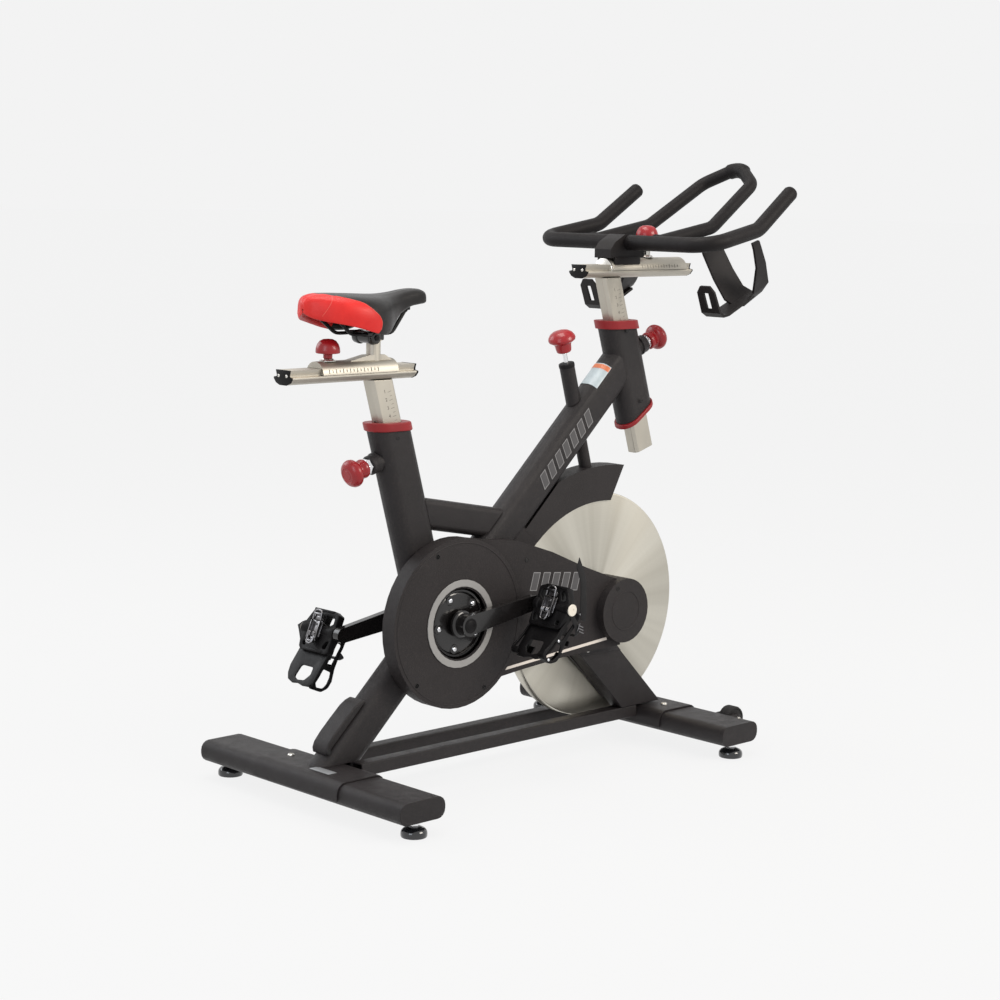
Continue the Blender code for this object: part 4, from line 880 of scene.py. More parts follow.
# ------------------------------------------------------------------- knobs
def mushroom(name, node, origin, axis, body, r, top, under, stem, bottom):
    prof = [(0, top), (r*0.38, top - 0.7), (r*0.66, top - 3.6),
            (r*0.86, top - 9.2), (r*0.97, top - 16.0), (r, under + 3.0),
            (r - 0.8, under + 0.6), (r - 3, under), (stem + 2, under),
            (stem, under - 2), (stem, bottom + 1), (stem - 0.6, bottom),
            (0, bottom)]
    ob = turned(name, prof, origin, axis, "red", body, steps=56,
                smooth=30)
    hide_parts(node)
    return ob


mushroom("seat_clamp_cap", "seat_clamp_knob", (17, 0, 0), (0, 0, 1),
         "seat_lock", 22.0, 841, 815, 8.2, 806.5)
turned("seat_clamp_washer", [(5, 806.4), (9.5, 806.2), (10.5, 804.6),
       (15.5, 803.0), (15.5, 801.8), (5, 801.8)], (17, 0, 0), (0, 0, 1),
       "zinc", "seat_lock")
mushroom("bar_clamp_cap", "bar_clamp_knob", (837, 0, 0), (0, 0, 1),
         "bar_lock", 22.5, 1038, 1013, 8.0, 1004)
turned("bar_clamp_stud", [(0, 1004.4), (7.5, 1004), (7.5, 979), (11, 978),
       (13, 975.6), (13, 974.4), (0, 974.4)], (837, 0, 0), (0, 0, 1),
       "zinc", "bar_lock")

b_ax = Vector((-0.287, 0, 1)).normalized()
brake0 = (636, 0, 698)
knob = turned("brake_knob_cap",
              [(0, 143.5), (8, 143.0), (16, 140.8), (22, 136.6),
               (26, 130.6), (27, 126.4), (25.8, 122.6), (21, 119.4),
               (17.5, 117), (16, 113), (15.4, 107), (14.4, 101.5),
               (12.6, 99.5), (5, 99.2), (0, 99.2)], brake0, tuple(b_ax),
              "red", "brake_dial", steps=56, smooth=30)
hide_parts("brake_knob")
turned("brake_tube_cap", [(5.2, 77.4), (11, 77.4), (15.2, 76.0), (15.8, 73.5),
       (15.6, 69), (14.6, 69)], brake0, tuple(b_ax), "black", "frame")


def pin_knob(name, node, base, d, reach, body):
    o = Vector(base) + Vector(d) * (reach + 11.0)
    prof = [(0, 50.2), (7.5, 50.2), (8.3, 49.6), (13.2, 49.6), (14, 50.3),
            (18.5, 48.6), (22.8, 45.2), (25.3, 40.6), (25.8, 36.8),
            (24.8, 33.0), (21.5, 29.6), (17.0, 27.4), (15.2, 24.6),
            (15.4, 21.0), (17.3, 17.4), (17.8, 13.0), (16.6, 9.4),
            (12, 8.2), (0, 8.2)]
    ob = turned(name, prof, tuple(o), tuple(d), "red", body, steps=56,
                smooth=30)
    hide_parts(node)
    turned(name + "_plunger", [(0, 9), (7.2, 9), (7.2, -35), (0, -35)],
           tuple(o), tuple(d), "zinc", body, steps=32)
    return o


SEAT_D = Vector((-0.961, 0, -0.276)).normalized()
BAR_D = Vector((0.955, 0, 0.297)).normalized()
zs, zh = 625.0, 783.0
seat_base = (133.3 + 0.287 * (762 - zs), 0, zs)
bar_base = (727.3 + 0.311 * (931 - zh), 0, zh)
so = pin_knob("seat_pin_cap", "seat_pin_knob", seat_base, SEAT_D, 52.5,
              "seat_pin")
bo = pin_knob("bar_pin_cap", "bar_pin_knob", bar_base, BAR_D, 54.5, "bar_pin")
for nm, o, d in (("seat_pin", so, SEAT_D), ("bar_pin", bo, BAR_D)):
    turned(nm + "_lock_nut", [(8.6, 6.6), (13.5, 6.6), (14.6, 5.8, 'hex'),
           (15.6, 4.6, 'hex'), (15.6, -0.2, 'hex'), (14.6, -1.2, 'hex'),
           (8.6, -1.2)], tuple(o), tuple(d), "chrome", "frame",
           loop=True, steps=36)
    turned(nm + "_boss_sleeve", [(9, -1.4), (16.4, -1.4), (18.0, -2.8),
           (18.0, -12.0), (19.6, -15.0), (19.6, -19.0), (17.0, -20.5)],
           tuple(o), tuple(d), "powder", "frame",
           steps=48)

# --------------------------------------------------------------- feet, wheels
for fx, fy, nd in ((0, -262, "foot_rear_right"), (0, 262, "foot_rear_left"),
                   (835, -262, "foot_front_right"),
                   (835, 262, "foot_front_left")):
    body = {"foot_rear_right": "foot_rr", "foot_rear_left": "foot_rl",
            "foot_front_right": "foot_fr", "foot_front_left": "foot_fl"}[nd]
    ob = turned(nd + "_pad", [(0, 0), (20, 0), (22.6, 0.8), (23.5, 3),
                (23.5, 8), (22.4, 12), (19, 15.6), (13.5, 18.2), (8.5, 19.2),
                (5.2, 19.4), (5.2, 29), (0, 29)], (fx, fy, 0), (0, 0, 1),
                "foot", body, steps=48, smooth=32)
    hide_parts(nd)
    turned(nd + "_locknut", [(5, 19.2), (9.2, 19.2, 'hex'),
           (9.8, 20.2, 'hex'), (9.8, 25.4, 'hex'), (9.2, 26.4, 'hex'),
           (5, 26.4)], (fx, fy, 0), (0, 0, 1), "chrome", body,
           loop=True, steps=36)
for side, tag, body in ((-1, "right", "roller_r"), (1, "left", "roller_l")):
    ob = turned("roller_tyre_" + tag,
                [(6.4, 12), (13, 12), (14, 10.6), (21, 10.6), (22, 12),
                 (25, 11.4), (26, 9), (26, 2.2), (25.2, 1.2), (25.2, -1.2),
                 (26, -2.2), (26, -9), (25, -11.4), (22, -12), (21, -10.6),
                 (14, -10.6), (13, -12), (6.4, -12)],
                (915, side * 192, 52), (0, 1, 0), "rubber", body, steps=56,
                loop=True)
    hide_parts("transport_wheel_" + tag)
    for y, dy in ((side * 212.2, side), (side * 171.8, -side)):
        bolt("roller_bolt_%s_%s" % (tag, "out" if dy == side else "in"),
             (915, y, 52), (0, dy, 0), 7.0, 3.4, "zinc", "frame")

# ---------------------------------------------------------- rail end caps
SEC = [(-9, 0), (9, 0), (19, 4), (24.5, 10.5), (24.5, 13.5), (16.5, 15),
       (16.5, 18), (19, 26), (-19, 26), (-16.5, 18), (-16.5, 15),
       (-24.5, 13.5), (-24.5, 10.5), (-19, 4)]
for nm, x, z0, body, sgn in (("seat_rail_cap_rear", -80, 764, "seat_mast", -1),
                             ("seat_rail_cap_front", 205, 764, "seat_mast", 1),
                             ("bar_rail_cap_rear", 646, 936, "bar_mast", -1),
                             ("bar_rail_cap_front", 947, 936, "bar_mast", 1)):
    out = []
    for y, z in SEC:
        k = 0.99 if nm == "bar_rail_cap_front" else 1.03
        out.append((x + sgn * 0.3, y * k, z0 + 13 + (z - 13) * k))
    bm = prism_bm(bmesh.new(), out, (sgn * 3.2, 0, 0), bevel=0.7)
    put(nm, bm, "black", body)
    for y in (-11, 11):
        bolt(nm + ("_screw_r" if y < 0 else "_screw_l"),
             (x + sgn * 3.4, y, z0 + 16), (sgn, 0, 0), 3.0, 1.4, "zinc", body)

# --------------------------------------------------------------- drive side
CX, CZ = 287.0, 306.0
for k in range(5):
    a = math.radians(187 + 72 * k)
    x, z = CX + 49 * math.cos(a), CZ + 49 * math.sin(a)
    bolt("spider_bolt_%d" % (k + 1), (x, -54.9, z), (0, -1, 0), 5.4, 4.2,
         "chrome", "crankset", "button")
    turned("spider_boss_%d" % (k + 1), [(9.5, -0.6), (9.5, 0.6), (8.6, 1.4),
           (5.0, 1.4), (5.0, -0.6)], (x, -54.6, z), (0, -1, 0), "gloss",
           "crankset", loop=True, steps=32)
# spider face ring inside the guard's window
turned("spider_rim", [(64.5, 0.0), (64.5, 3.2), (62.8, 4.6), (59.5, 4.2),
       (57.5, 0.4), (57.5, 0.0)], (CX, -51.5, CZ), (0, -1, 0), "gloss",
       "crankset", loop=True, steps=72)
for side, tag in ((-1, "right"), (1, "left")):
    turned("crank_dust_cap_" + tag, [(0, 1.6), (9, 1.5), (10, 0.9),
           (13.4, 1.4), (14.2, 0.6), (14.2, -0.6), (0, -0.6)],
           (CX, side * 90.6, CZ), (0, side, 0), "black", "crankset")
    turned("crank_hub_skirt_" + tag, [(20.6, 0), (23.5, 0.8), (25.5, 3),
           (25.5, 8.5), (22.5, 11.5), (20.6, 12)],
           (CX, side * 71, CZ), (0, -side, 0), "gloss", "crankset",
           loop=True)

# screws of the guard, in near-black cups: painted shade in their recesses
for i, (x, y, z) in enumerate(((228.6, -62.0, 437.7), (458, -60.8, 407.6),
                               (180.9, -62.0, 203.2), (673, -98.0, 332.0),
                               (330, -62.0, 160.0))):
    if i == 4:
        x, z = 350.0, 176.0
    bolt("guard_screw_%d" % (i + 1), (x, y - 0.1, z), (0, -1, 0), 4.6, 1.0,
         "blackhole", "frame", "recess")


def gy(x):
    return -57.0 - 0.1 * (x - 420.0)


# painted highlight: a pale stripe along the guard's lower edge, standing in for a
# line of light
st = []
for x, z in ((409, 199.6), (662, 229.4), (660, 235.0), (404.5, 204.4)):
    st.append((x, gy(x) - 0.15, z))
put("guard_painted_highlight_stripe", prism_bm(bmesh.new(), st, (0, -0.5, 0)), "stripe",
    "frame", smooth=20)

# raised rim of the drum and of the nose cap
turned("guard_drum_bead", [(150.5, -0.4), (151.0, 0.5), (152.0, 0.9),
       (153.0, 0.5), (153.5, -0.4)], (284, -62.0, 306), (0, -1, 0), "guard",
       "frame", steps=120, loop=True)
turned("guard_nose_bead", [(37.0, -0.4), (37.5, 0.4), (38.3, 0.7),
       (39.1, 0.4), (39.6, -0.4)], (697, -98.0, 286), (0, -1, 0), "guard",
       "frame", steps=96, loop=True)

# slanted bars in two greys where such bikes carry a mark: plain stripes
def bars(prefix, start, step, h, w, n, ux, uz, lean, body, ypos):
    """n outlined slanted bars; ux and uz are the in-plane axes."""
    for i in range(n):
        o = Vector(start) + ux * (step * i)
        for j, (g, mt, t) in enumerate(((0.0, "decal", 0.0),
                                        (1.5, "decal_dark", 0.12))):
            pts = []
            for a, b in ((g, g), (w - g, g), (w - g, h - g), (g, h - g)):
                q = o + ux * (a + lean * b / h) + uz * b
                pts.append((q.x, ypos(q.x) - 0.16 - t, q.z))
            put("%s_bar_%d_%s" % (prefix, i + 1, "ab"[j]),
                prism_bm(bmesh.new(), pts, (0, -0.12, 0)), mt, body,
                smooth=20)


bars("guard", (466, 0, 347), 25, 36, 17, 5, Vector((1, 0, -0.09)),
     Vector((0, 0, 1)), 9, "frame", gy)
t_ax = Vector((0.72319, 0, 0.69065))
t_up = Vector((-0.69065, 0, 0.72319))
t0 = Vector((613.4 + (76 - 623.1) / 0.955, 0, 76.0))
bars("tube", tuple(t0 + t_ax * 674 + t_up * -14), 27, 30, 18, 7, t_ax, t_up,
     10, "frame", lambda x: -25.0)


# blank label wrapped over the main tube near the head
def tube_wrap(name, s0, s1, f0, f1, mat, lift):
    bm = bmesh.new()
    rows = []
    for lo in (0.0, 0.18):
        grid = []
        for i in range(9):
            s = s0 + (s1 - s0) * i / 8
            row = []
            for j in range(25):
                f = math.radians(f0 + (f1 - f0) * j / 24)
                rr = 20 + lift + lo
                y = -(5 * (1 if f > 0.12 else -1 if f < -0.12 else f / 0.12) +
                      rr * math.sin(f))
                u = 17.5 + rr * math.cos(f)
                q = t0 + t_ax * s + t_up * u
                row.append(bm.verts.new(P(q.x, y, q.z)))
            grid.append(row)
        rows.append(grid)
    for g, flip in ((rows[0], False), (rows[1], True)):
        for i in range(8):
            for j in range(24):
                f = (g[i][j], g[i+1][j], g[i+1][j+1], g[i][j+1])
                bm.faces.new(f if flip else f[::-1])
    a, b = rows
    for i in range(8):
        for j in (0, 24):
            bm.faces.new((a[i][j], a[i+1][j], b[i+1][j], b[i][j]))
    for j in range(24):
        for i in (0, 8):
            bm.faces.new((a[i][j], a[i][j+1], b[i][j+1], b[i][j]))
    return put(name, bm, mat, "frame", smooth=30)


tube_wrap("blank_label", 906, 962, -68, 66, "label", 0.25)
tube_wrap("blank_label_strip", 949, 960, -66, 64, "label_orange", 0.5)

# blank plate on the rear sleeve
block("rear_blank_plate", (-19, -37, 73.7), (9.5, 27, 0.35), "plate", "frame",
      bevel=0.2)

# --------------------------------------------------------------- fasteners
bolt("rear_sleeve_bolt", (5.5, 85.7, 73.4), (0, 0, 1), 6.5, 3.2, "zinc",
     "frame")
for y, tag in ((-82.2, "right"), (82.2, "left")):
    bolt("front_sleeve_bolt_" + tag, (835, y, 73.4), (0, 0, 1), 6.5, 3.2,
         "zinc", "frame")
# near-black recess: painted shade round the screw
bolt("seat_tube_screw", (159.9, -26.0, 663.4 - 6), (0, -1, 0), 3.6, 1.2,
     "blackhole", "frame", "recess")
for side, tag in ((-1, "right"), (1, "left")):
    bolt("axle_nut_" + tag, (694, side * 25.2, 287), (0, side, 0), 11, 8,
         "zinc", "frame", "hexnut")

# ------------------------------------------------------------------ scales
def rail_ticks(name, x0, x1, z0, step, body):
    bm = bmesh.new()
    i = 0
    x = x0
    while x <= x1 + 1e-6:
        ln = 3.6 if i % 2 == 0 else 2.4
        for side in (-1,):
            f = math.radians(15)
            y = side * 24.5 * math.cos(f)
            z = z0 + 15.35 + 24.5 * math.sin(f) * 0.93
            tang = Vector((0, -side * math.sin(f), math.cos(f)))
            rot = axes_from((1, 0, 0), tang)
            block_bm(bm, (x, y - 0.15, z), (0.6, ln, 0.2), rot, bevel=0)
        x += step
        i += 1
    return put(name, bm, "mark", body, smooth=20)


rail_ticks("seat_scale_ticks", 2, 114, 764, 8.0, "seat_slider")
rail_ticks("bar_scale_ticks", 800, 904, 936, 8.0, "bar_slider")


def digits(name, text, pos, right, up, size, body):
    cu = bpy.data.curves.new(name, 'FONT')
    cu.body = text
    cu.size = size / 1000
    cu.extrude = 0.00012
    cu.align_x = 'CENTER'
    cu.align_y = 'CENTER'
    tmp = bpy.data.objects.new(name + "_t", cu)
    SCENE.collection.objects.link(tmp)
    bpy.context.view_layer.update()
    me = bpy.data.meshes.new_from_object(
        tmp.evaluated_get(bpy.context.evaluated_depsgraph_get()))
    bpy.data.objects.remove(tmp, do_unlink=True)
    r, u = Vector(right).normalized(), Vector(up).normalized()
    m = Matrix((r, u, r.cross(u))).transposed().to_4x4()
    me.transform(Matrix.Translation(P(*pos)) @ m)
    bm = bmesh.new()
    bm.from_mesh(me)
    return put(name, bm, "mark", body, smooth=20)


def post_scale(prefix, line, k, z0, n, step, body, first, ax):
    up = Vector((-k, 0, 1)).normalized()
    right = Vector((1, 0, k)).normalized()
    bm = bmesh.new()
    for i in range(n):
        z = z0 - i * step
        x = line(z)
        digits("%s_number_%d" % (prefix, first + i), str(first + i),
               (x - 2 + 0.0, -15.12, z), right, up, 9, body)
        block_bm(bm, (x + 9, -15.1, z), (4.0, 0.15, 0.4),
                 axes_from(right, (0, 1, 0)), bevel=0)
        block_bm(bm, (line(z - step/2) + 10.5, -15.1, z - step/2),
                 (2.4, 0.15, 0.35), axes_from(right, (0, 1, 0)), bevel=0)
    put(prefix + "_ticks", bm, "mark", body, smooth=20)


def seat_line(z):
    return 133.3 + 0.287 * (762.0 - z)


def head_line(z):
    return 727.3 + 0.311 * (931.0 - z)


post_scale("seat_post", seat_line, 0.287, 742, 9, 15, "seat_mast", 1, None)
post_scale("bar_post", head_line, 0.311, 912, 9, 15, "bar_mast", 1, None)
# holes in the posts: flat near-black discs, painted shade standing in for the hollow
# holes
for prefix, line, k, zz, body in (
        ("seat_post", seat_line, 0.287, (690, 670, 650, 630, 610), "seat_mast"),
        ("bar_post", head_line, 0.311, (848, 828, 808, 788, 768), "bar_mast")):
    nrm = Vector((-1, 0, -k)).normalized()
    if prefix == "bar_post":
        nrm = -nrm
    for i, z in enumerate(zz):
        q = Vector((line(z), 0, z)) + nrm * 26.0
        turned("%s_hole_%d" % (prefix, i + 1), [(5.2, -0.3), (5.2, 0.22),
               (4.5, 0.3), (4.1, 0.1), (0, 0.1)], tuple(q), tuple(nrm),
               "blackhole", body, steps=32)

# pressed end plate at the rear of the bar carriage, skirts of the stem
end = [(24.0 * math.cos(math.radians(a)),
        951.0 + 23.4 * math.sin(math.radians(a)))
       for a in range(186, -7, -8)]
bm = prism_bm(bmesh.new(), [(711.8, y, z) for y, z in end], (3.6, 0, 0),
              bevel=0.8)
block_bm(bm, (711.4, 0, 962.0), (0.5, 13, 0.5), bevel=0.2)
put("bar_carriage_end", bm, "zinc", "bar_slider")
bm = bmesh.new()
for y in (-22.4, 22.4):
    block_bm(bm, (757, y, 969), (36, 2.2, 7.5), bevel=1.4)
put("stem_skirts", bm, "cage", "bar_slider")
# near-black recesses of the head screws: painted shade in the pockets
for i, (x, y, z) in enumerate(((754.0, -30.0, 831.0), (800.3, -30.0, 689.5))):
    bolt("head_screw_%d" % (i + 1), (x, y, z), (0, -1, 0), 3.6, 1.2,
         "blackhole", "frame", "recess")
# near-black dimple: painted shade in the recess
bolt("boot_dimple", (7.8, -21.2, 100), (0, -1, 0), 5.0, 1.0, "blackhole",
     "frame", "recess")
bolt("leg_bolt", (631.2, -60.8, 209.4), (0, -1, 0), 5.2, 2.6, "zinc",
     "frame")
# heads of the fork legs, up to the guard's lower edge
for side, tag in ((-1, "right"), (1, "left")):
    bm = prism_bm(bmesh.new(), [(614.8, side * 25.8, 196.4),
                  (727.0, side * 25.8, 196.4), (704.5, side * 25.8, 219.0),
                  (592.2, side * 25.8, 219.0)], (0, side * 34.8, 0),
                  bevel=1.4, seg=3)
    put("fork_leg_head_" + tag, bm, "powder", "frame")

# ------------------------------------------------------------------ pedals
def closed(pts, r, n=4):
    """Closed outline with rounded corners, in two dimensions."""
    q = [Vector((a, b, 0)) for a, b in pts]
    m = (q[-1] + q[0]) / 2
    return [(v.x, v.y) for v in fillet([m] + q + [m], r, n)[:-1]]


def plate_bm(bm, outline, holes, thick, o, ax, ay, r=4.0, rh=3.0, bevel=0.8):
    """Flat plate with rounded windows; o, ax, ay place it (mm, unit axes)."""
    cu = bpy.data.curves.new("plate", 'CURVE')
    cu.dimensions = '2D'
    cu.fill_mode = 'BOTH'
    cu.extrude = max(0.0, thick / 2 - bevel) / 1000
    cu.bevel_depth = bevel / 1000
    cu.bevel_resolution = 2
    cu.offset = -bevel / 1000
    for k, pts in enumerate([outline] + list(holes)):
        pts = closed(pts, r if k == 0 else rh)
        sp = cu.splines.new('POLY')
        sp.points.add(len(pts) - 1)
        for i, (a, b) in enumerate(pts):
            sp.points[i].co = (a / 1000, b / 1000, 0, 1)
        sp.use_cyclic_u = True
    tmp = bpy.data.objects.new("plate_tmp", cu)
    SCENE.collection.objects.link(tmp)
    bpy.context.view_layer.update()
    me = bpy.data.meshes.new_from_object(
        tmp.evaluated_get(bpy.context.evaluated_depsgraph_get()))
    bpy.data.objects.remove(tmp, do_unlink=True)
    ax, ay = Vector(ax).normalized(), Vector(ay).normalized()
    R = Matrix((ax, ay, ax.cross(ay))).transposed().to_4x4()
    me.transform(Matrix.Translation(P(*o)) @ R)
    bm.from_mesh(me)
    bpy.data.meshes.remove(me)
    return bm


def pedal_kit(side, tag, ex, ez, lean, body):
    a = math.radians(lean)
    U = Vector((-math.sin(a), 0, -math.cos(a)))     # towards the toe
    Nn = Vector((-math.cos(a), 0, math.sin(a)))     # clip side
    Yv = Vector((0, side, 0))
    c0 = Vector((ex, 0, ez))

    def at(u, y, n):
        q = c0 + U * u + Nn * n
        return (q.x, side * y, q.z)

    rot = Matrix((U, Yv, U.cross(Yv))).transposed()
    # barrel over the spindle with its cream end cap
    turned("pedal_barrel_" + tag, [(7, 93.4), (12.6, 93.4), (13.6, 95),
           (13.6, 104), (12, 106), (12, 170), (13.2, 172), (13.2, 184.6),
           (12.2, 185.8), (0, 185.8)], (ex, 0, ez), (0, side, 0), "black",
           body)
    turned("pedal_end_cap_" + tag, [(11.2, 185.4), (11.2, 187.4), (10.2, 188.4),
           (3.4, 188.6), (2.6, 187.6), (0, 187.6)], (ex, 0, ez),
           (0, side, 0), "cream", body)
    # clip mechanism on the rear-facing side
    bm = bmesh.new()
    block_bm(bm, at(0, 139, 13.2), (15, 15, 1.6), rot, 0.6)
    block_bm(bm, at(-21, 139, 15.5), (4.5, 13, 2.2), rot, 1.0)
    block_bm(bm, at(-27, 139, 19.0), (2.0, 11, 3.4), rot, 0.8)
    block_bm(bm, at(20, 139, 15.5), (4.0, 11, 2.2), rot, 1.0)
    block_bm(bm, at(25.5, 139, 18.2), (2.0, 8, 3.6), rot, 0.8)
    for y in (127, 151):
        block_bm(bm, at(3, y, 17.0), (17, 1.2, 4.2), rot, 0.6)
    put("pedal_clip_plates_" + tag, bm, "steel_dark", body)
    bm = bmesh.new()
    claw = fillet([at(-16, 128, 19.5), at(-33, 129, 21), at(-35, 139, 21),
                   at(-33, 149, 21), at(-16, 150, 19.5)], [6, 5, 6], 5)
    tube_bm(bm, [tuple(p) for p in claw], 1.9, sides=10)
    claw = fillet([at(12, 130, 19.5), at(30, 132, 21), at(30, 146, 21),
                   at(12, 148, 19.5)], [5, 5], 5)
    tube_bm(bm, [tuple(p) for p in claw], 1.9, sides=10)
    for y0 in (129.5, 141.5):
        helix = []
        for k in range(61):
            th = 2 * math.pi * k / 12
            helix.append(at(11 + 4.6 * math.cos(th), y0 + 7.0 * k / 60,
                            18.0 + 4.6 * math.sin(th)))
        tube_bm(bm, helix, 0.95, sides=8)
    put("pedal_clip_springs_" + tag, bm, "steel_dark", body)
    for i, (u, y) in enumerate(((-8, 139), (8, 133), (8, 145))):
        bolt("pedal_bolt_%s_%d" % (tag, i + 1), at(u, y, 14.4),
             tuple(Nn), 2.6, 1.6, "steel_dark", body)
    # platform with rounded windows round the clip
    bm = bmesh.new()
    plate_bm(bm, [(-39, 166), (-40, 112), (-34, 95), (40, 94), (43, 100),
                  (43, 172), (38, 178), (14, 184), (-4, 184), (-14, 180)],
             [[(-32, 160), (-29, 152), (-14, 161), (-12, 170), (-20, 168)],
              [(-14, 129), (-27, 127), (-28, 104), (-16, 103), (-9, 114)],
              [(26, 162), (34, 162), (34, 169), (26, 171)],
              [(16, 98.5), (20, 108), (33, 116), (33, 103)]],
             17.0, at(0, 0, 0), tuple(U), tuple(Yv), r=5.0, rh=2.6,
             bevel=2.0)
    for u in (-37, 40):
        block_bm(bm, at(u, 138, 0), (2.6, 28, 9.6), rot, 1.2)
    ob = put("pedal_platform_" + tag, bm, "black", body)
    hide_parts("pedal_" + tag)
    # toe cage: slotted side plates, windowed front plate and rolled nose
    bm = bmesh.new()
    side_out = [(-4, -6), (0, -30), (20, -29), (37, -26), (62, -25),
                (86, -28.5), (101, -23), (109, -10), (111, 5), (106, 15),
                (96, 14), (84, 9), (66, 4), (48, 1.5), (28, -2), (10, -4)]
    slot_w = [(14, -12.0), (16, -23), (60, -15), (60, -4.0)]
    eye_w = [(69, 0), (70, -19), (88, -22), (103, -14), (105, 3),
             (98, 8), (86, 4)]
    extra = math.radians(12 if side < 0 else 0)

    def turn(pts):
        return [(10 + (a - 10) * math.cos(extra) - (b + 12) *
                 math.sin(extra), -12 + (a - 10) * math.sin(extra) +
                 (b + 12) * math.cos(extra)) for a, b in pts]

    short = [(-4, -6), (0, -28), (20, -27), (40, -23), (60, -14), (77, 4),
             (72, 8), (60, 4.5), (48, 1.5), (28, -2), (10, -4)]
    short_w = [(14, -10), (16, -21), (40, -17), (54, -8), (50, -3.5)]
    for y in (98.2, 180.8):
        if side > 0 and y > 100:
            plate_bm(bm, short, [short_w], 3.4, at(0, y, 0), tuple(U),
                     tuple(Nn), r=6.0, rh=3.0, bevel=0.9)
        else:
            plate_bm(bm, turn(side_out), [turn(slot_w), turn(eye_w)], 3.4,
                     at(0, y, 0), tuple(U), tuple(Nn), r=6.0, rh=3.0,
                     bevel=0.9)
    k = math.radians(13.5) + extra * 0.3
    U2 = U * math.cos(k) + Nn * math.sin(k)
    plate_bm(bm, [(0, 97), (0, 182), (46, 182), (62, 177), (74, 168),
                  (79, 152), (77, 138), (80, 122), (79, 104), (70, 96.6)],
             [[(40, 152), (40, 118), (56, 115), (69, 124), (71, 142),
               (66, 154)]],
             3.4, at(32, 0, -3.0), tuple(U2), tuple(Yv), r=7.0, rh=6.0,
             bevel=0.9)
    nose = fillet([at(100, 0, 13), at(109.5, 0, 13), at(109, 0, -12),
                   at(98, 0, -26), at(80, 0, -28)], [6, 10, 14], 5)
    nose = [turn([((Vector(v) - c0).dot(U), (Vector(v) - c0).dot(Nn))])[0]
            for v in nose]
    nose = [at(a0, 0, b0) for a0, b0 in nose]
    nose = [Vector(v) for v in nose]
    for a0, a1 in zip(nose, nose[1:]):
        d0 = (a1 - a0)
        nn = d0.cross(Yv).normalized() * 1.5
        for y0, y1 in (((99, 112), (168, 181)) if side < 0 else ((99, 106),)):
            q = [a0 + Yv * y0 + nn, a1 + Yv * y0 + nn,
                 a1 + Yv * y0 - nn, a0 + Yv * y0 - nn]
            prism_bm(bm, [tuple(v) for v in q], tuple(Yv * (y1 - y0)))
    for y0, y1 in ((99, 181),):
        block_bm(bm, at(60, 140, -25), (5, 41, 1.6), rot, 0.8)
    block_bm(bm, at(40, 139.5, -5), (9, 41, 6.0), rot, 1.5)
    ob = put("toe_cage_shell_" + tag, bm, "black", body)
    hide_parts("toe_cage_" + tag)
    for i, (u, n) in enumerate(turn([(65, -6), (106, -4)])):
        if side > 0 and i:
            continue
        bolt("cage_screw_%s_%d" % (tag, i + 1), at(u, 182.6, n),
             tuple(Yv), 2.8, 1.6, "chrome", body)
    # strap round the hoop, with its buckle
    bm = bmesh.new()
    path = [at(10, 184.6, -6), at(22, 185, -24), at(34, 185, -33),
            at(40, 180, -37), at(40, 139, -38), at(40, 102, -37),
            at(38, 96, -31), at(34, 100, -27)]
    path = fillet(path, [14, 8, 5, 30, 5, 3], 5)
    tube_bm(bm, [tuple(p) for p in path], 5.2, sides=12, flat=0.22,
            up=tuple(U))
    put("toe_strap_" + tag, bm, "strap", body)
    bm = bmesh.new()
    for k in range(3):
        block_bm(bm, at(21 + 5 * k, 187.5, -34 - 3 * k), (0.9, 1.0, 7.0),
                 rot, 0.4)
    block_bm(bm, at(24, 187.5, -29), (8, 1.0, 0.9), rot, 0.4)
    put("toe_strap_buckle_" + tag, bm, "steel_dark", body)
    turned("strap_stud_" + tag, [(0, 1.4), (2.4, 1.2), (3.6, 0), (3.6, -2)],
           at(-1, 187.4, -25), tuple(Yv), "chrome", body,
           steps=24)
    return at


ERX, ERZ = 287 + 170*math.cos(math.radians(7.9)), 306 + 170*math.sin(
    math.radians(7.9))
ELX, ELZ = 2*287 - ERX, 2*306 - ERZ
at_r = pedal_kit(-1, "right", ERX, ERZ, 24, "pedal_r")
at_l = pedal_kit(1, "left", ELX, ELZ, 24, "pedal_l")
# free ends of the straps stand up stiffly
rib = [(475.5, 309), (486.4, 304), (489.9, 322.6), (488.5, 352),
       (487.2, 380), (482.9, 396), (475.3, 414), (468.0, 429),
       (461.2, 411), (466.8, 397), (473, 379.5), (474.0, 356.6),
       (472.3, 336)]
bm = prism_bm(bmesh.new(), [(x, -189.2, z) for x, z in rib], (0, -1.6, 0),
              bevel=0.4)
put("toe_strap_tail_right", bm, "strap", "pedal_r")
tab = [at_l(-12, 184, 2), at_l(-9, 197, 2), at_l(0, 208, 2),
       at_l(9, 200, 2), (at_l(30, 184, 2))]
nv = Vector(at_l(0, 0, 1)) - Vector(at_l(0, 0, 0))
bm = prism_bm(bmesh.new(), tab, tuple(nv * -3), bevel=0.5)
put("toe_strap_tail_left", bm, "strap", "pedal_l")

# ------------------------------------------------------------ camera, light
def camera():
    a, e, ro = (math.radians(v) for v in (-43.734, 8.176, 0.968))
    d = Vector((-math.sin(a)*math.cos(e), math.cos(a)*math.cos(e),
                -math.sin(e)))
    r = Vector((math.cos(a), math.sin(a), 0))
    u = r.cross(d)
    r2 = r*math.cos(ro) + u*math.sin(ro)
    u2 = -r*math.sin(ro) + u*math.cos(ro)
    cam = bpy.data.cameras.new("camera")
    cam.lens, cam.sensor_width = 79.73, 36.0
    cam.clip_start, cam.clip_end = 0.1, 100
    ob = bpy.data.objects.new("camera", cam)
    SCENE.collection.objects.link(ob)
    m = Matrix((r2, u2, -d)).transposed().to_4x4()
    m.translation = P(-2453.4, -3026.7, 1119.1)
    ob.matrix_world = m
    SCENE.camera = ob


camera()


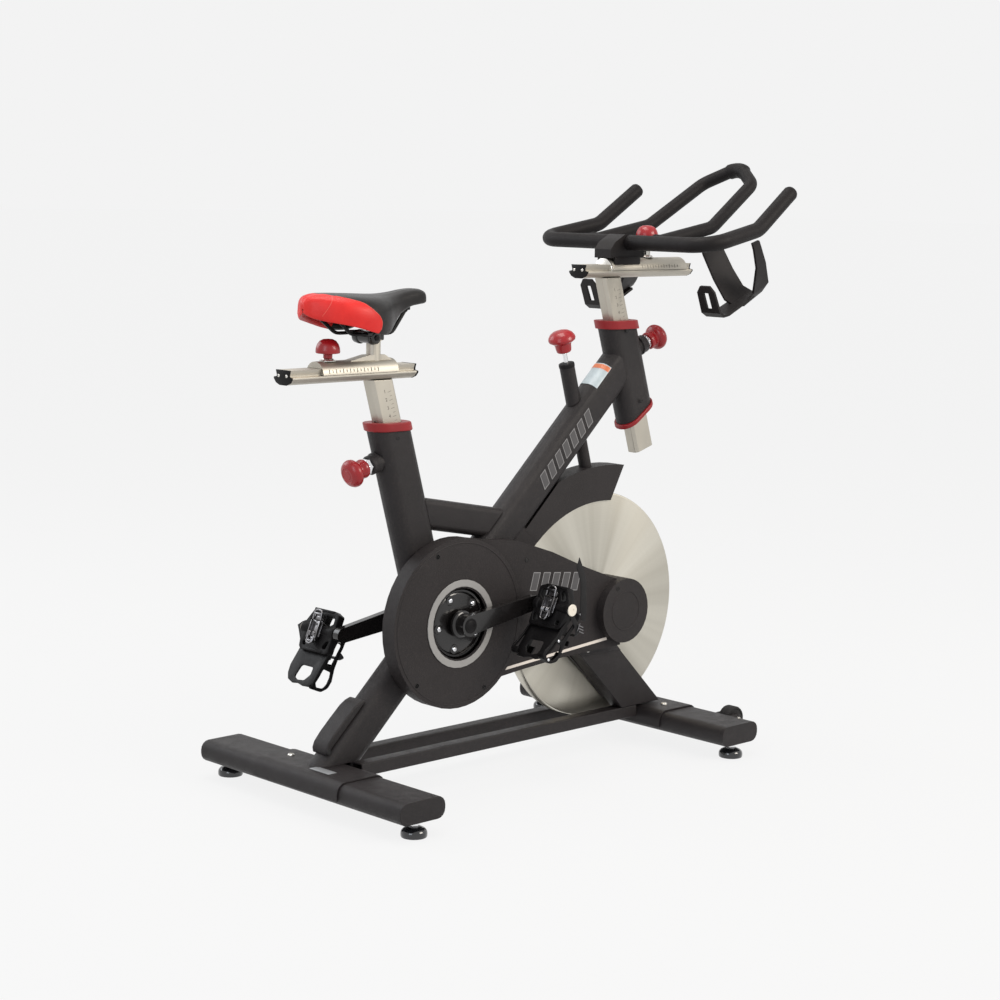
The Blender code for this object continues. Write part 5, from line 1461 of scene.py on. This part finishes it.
def area(name, loc, target, size, power, colour=(1, 1, 1)):
    li = bpy.data.lights.new(name, 'AREA')
    li.shape = 'RECTANGLE'
    li.size, li.size_y = size
    li.energy = power
    li.color = colour
    ob = bpy.data.objects.new(name, li)
    SCENE.collection.objects.link(ob)
    ob.location = loc
    ob.rotation_euler = (Vector(target) - Vector(loc)).to_track_quat(
        '-Z', 'Y').to_euler()


area("key", (1.5, -3.3, 2.5), (0, 0, 0.5), (1.8, 1.4), 105, (1, 0.93, 0.84))
area("top", (-0.4, 0.2, 3.4), (0, 0, 0.4), (2.2, 1.4), 60, (1, 0.96, 0.91))
area("cool", (-3.0, -1.0, 1.7), (0, 0, 0.6), (1.2, 2.0), 26, (0.84, 0.91, 1))
area("back", (-1.4, 2.8, 2.2), (0, 0, 0.6), (1.8, 1.8), 34, (0.92, 0.96, 1))

world = bpy.data.worlds.new("pale_room")
world.use_nodes = True
bg = world.node_tree.nodes["Background"]
bg.inputs["Color"].default_value = (0.896, 0.896, 0.896, 1)
bg.inputs["Strength"].default_value = 1.0
SCENE.world = world

fm = bpy.data.materials.new("pale_floor")
fm.use_nodes = True
t = fm.node_tree
t.nodes.remove(t.nodes["Principled BSDF"])
out = t.nodes["Material Output"]
em = t.nodes.new("ShaderNodeEmission")
em.inputs["Color"].default_value = (0.896, 0.896, 0.896, 1)
em.inputs["Strength"].default_value = 0.945
df = t.nodes.new("ShaderNodeBsdfDiffuse")
df.inputs["Color"].default_value = (0.05, 0.05, 0.05, 1)
ad = t.nodes.new("ShaderNodeAddShader")
t.links.new(em.outputs[0], ad.inputs[0])
t.links.new(df.outputs[0], ad.inputs[1])
t.links.new(ad.outputs[0], out.inputs["Surface"])
bm = bmesh.new()
bmesh.ops.create_grid(bm, x_segments=1, y_segments=1, size=60)
me = bpy.data.meshes.new("floor")
bm.to_mesh(me)
bm.free()
me.materials.append(fm)
floor = bpy.data.objects.new("floor", me)
floor.location = (0, 0, -0.0005)
SCENE.collection.objects.link(floor)

SCENE.view_settings.view_transform = 'Standard'
SCENE.view_settings.look = 'None'
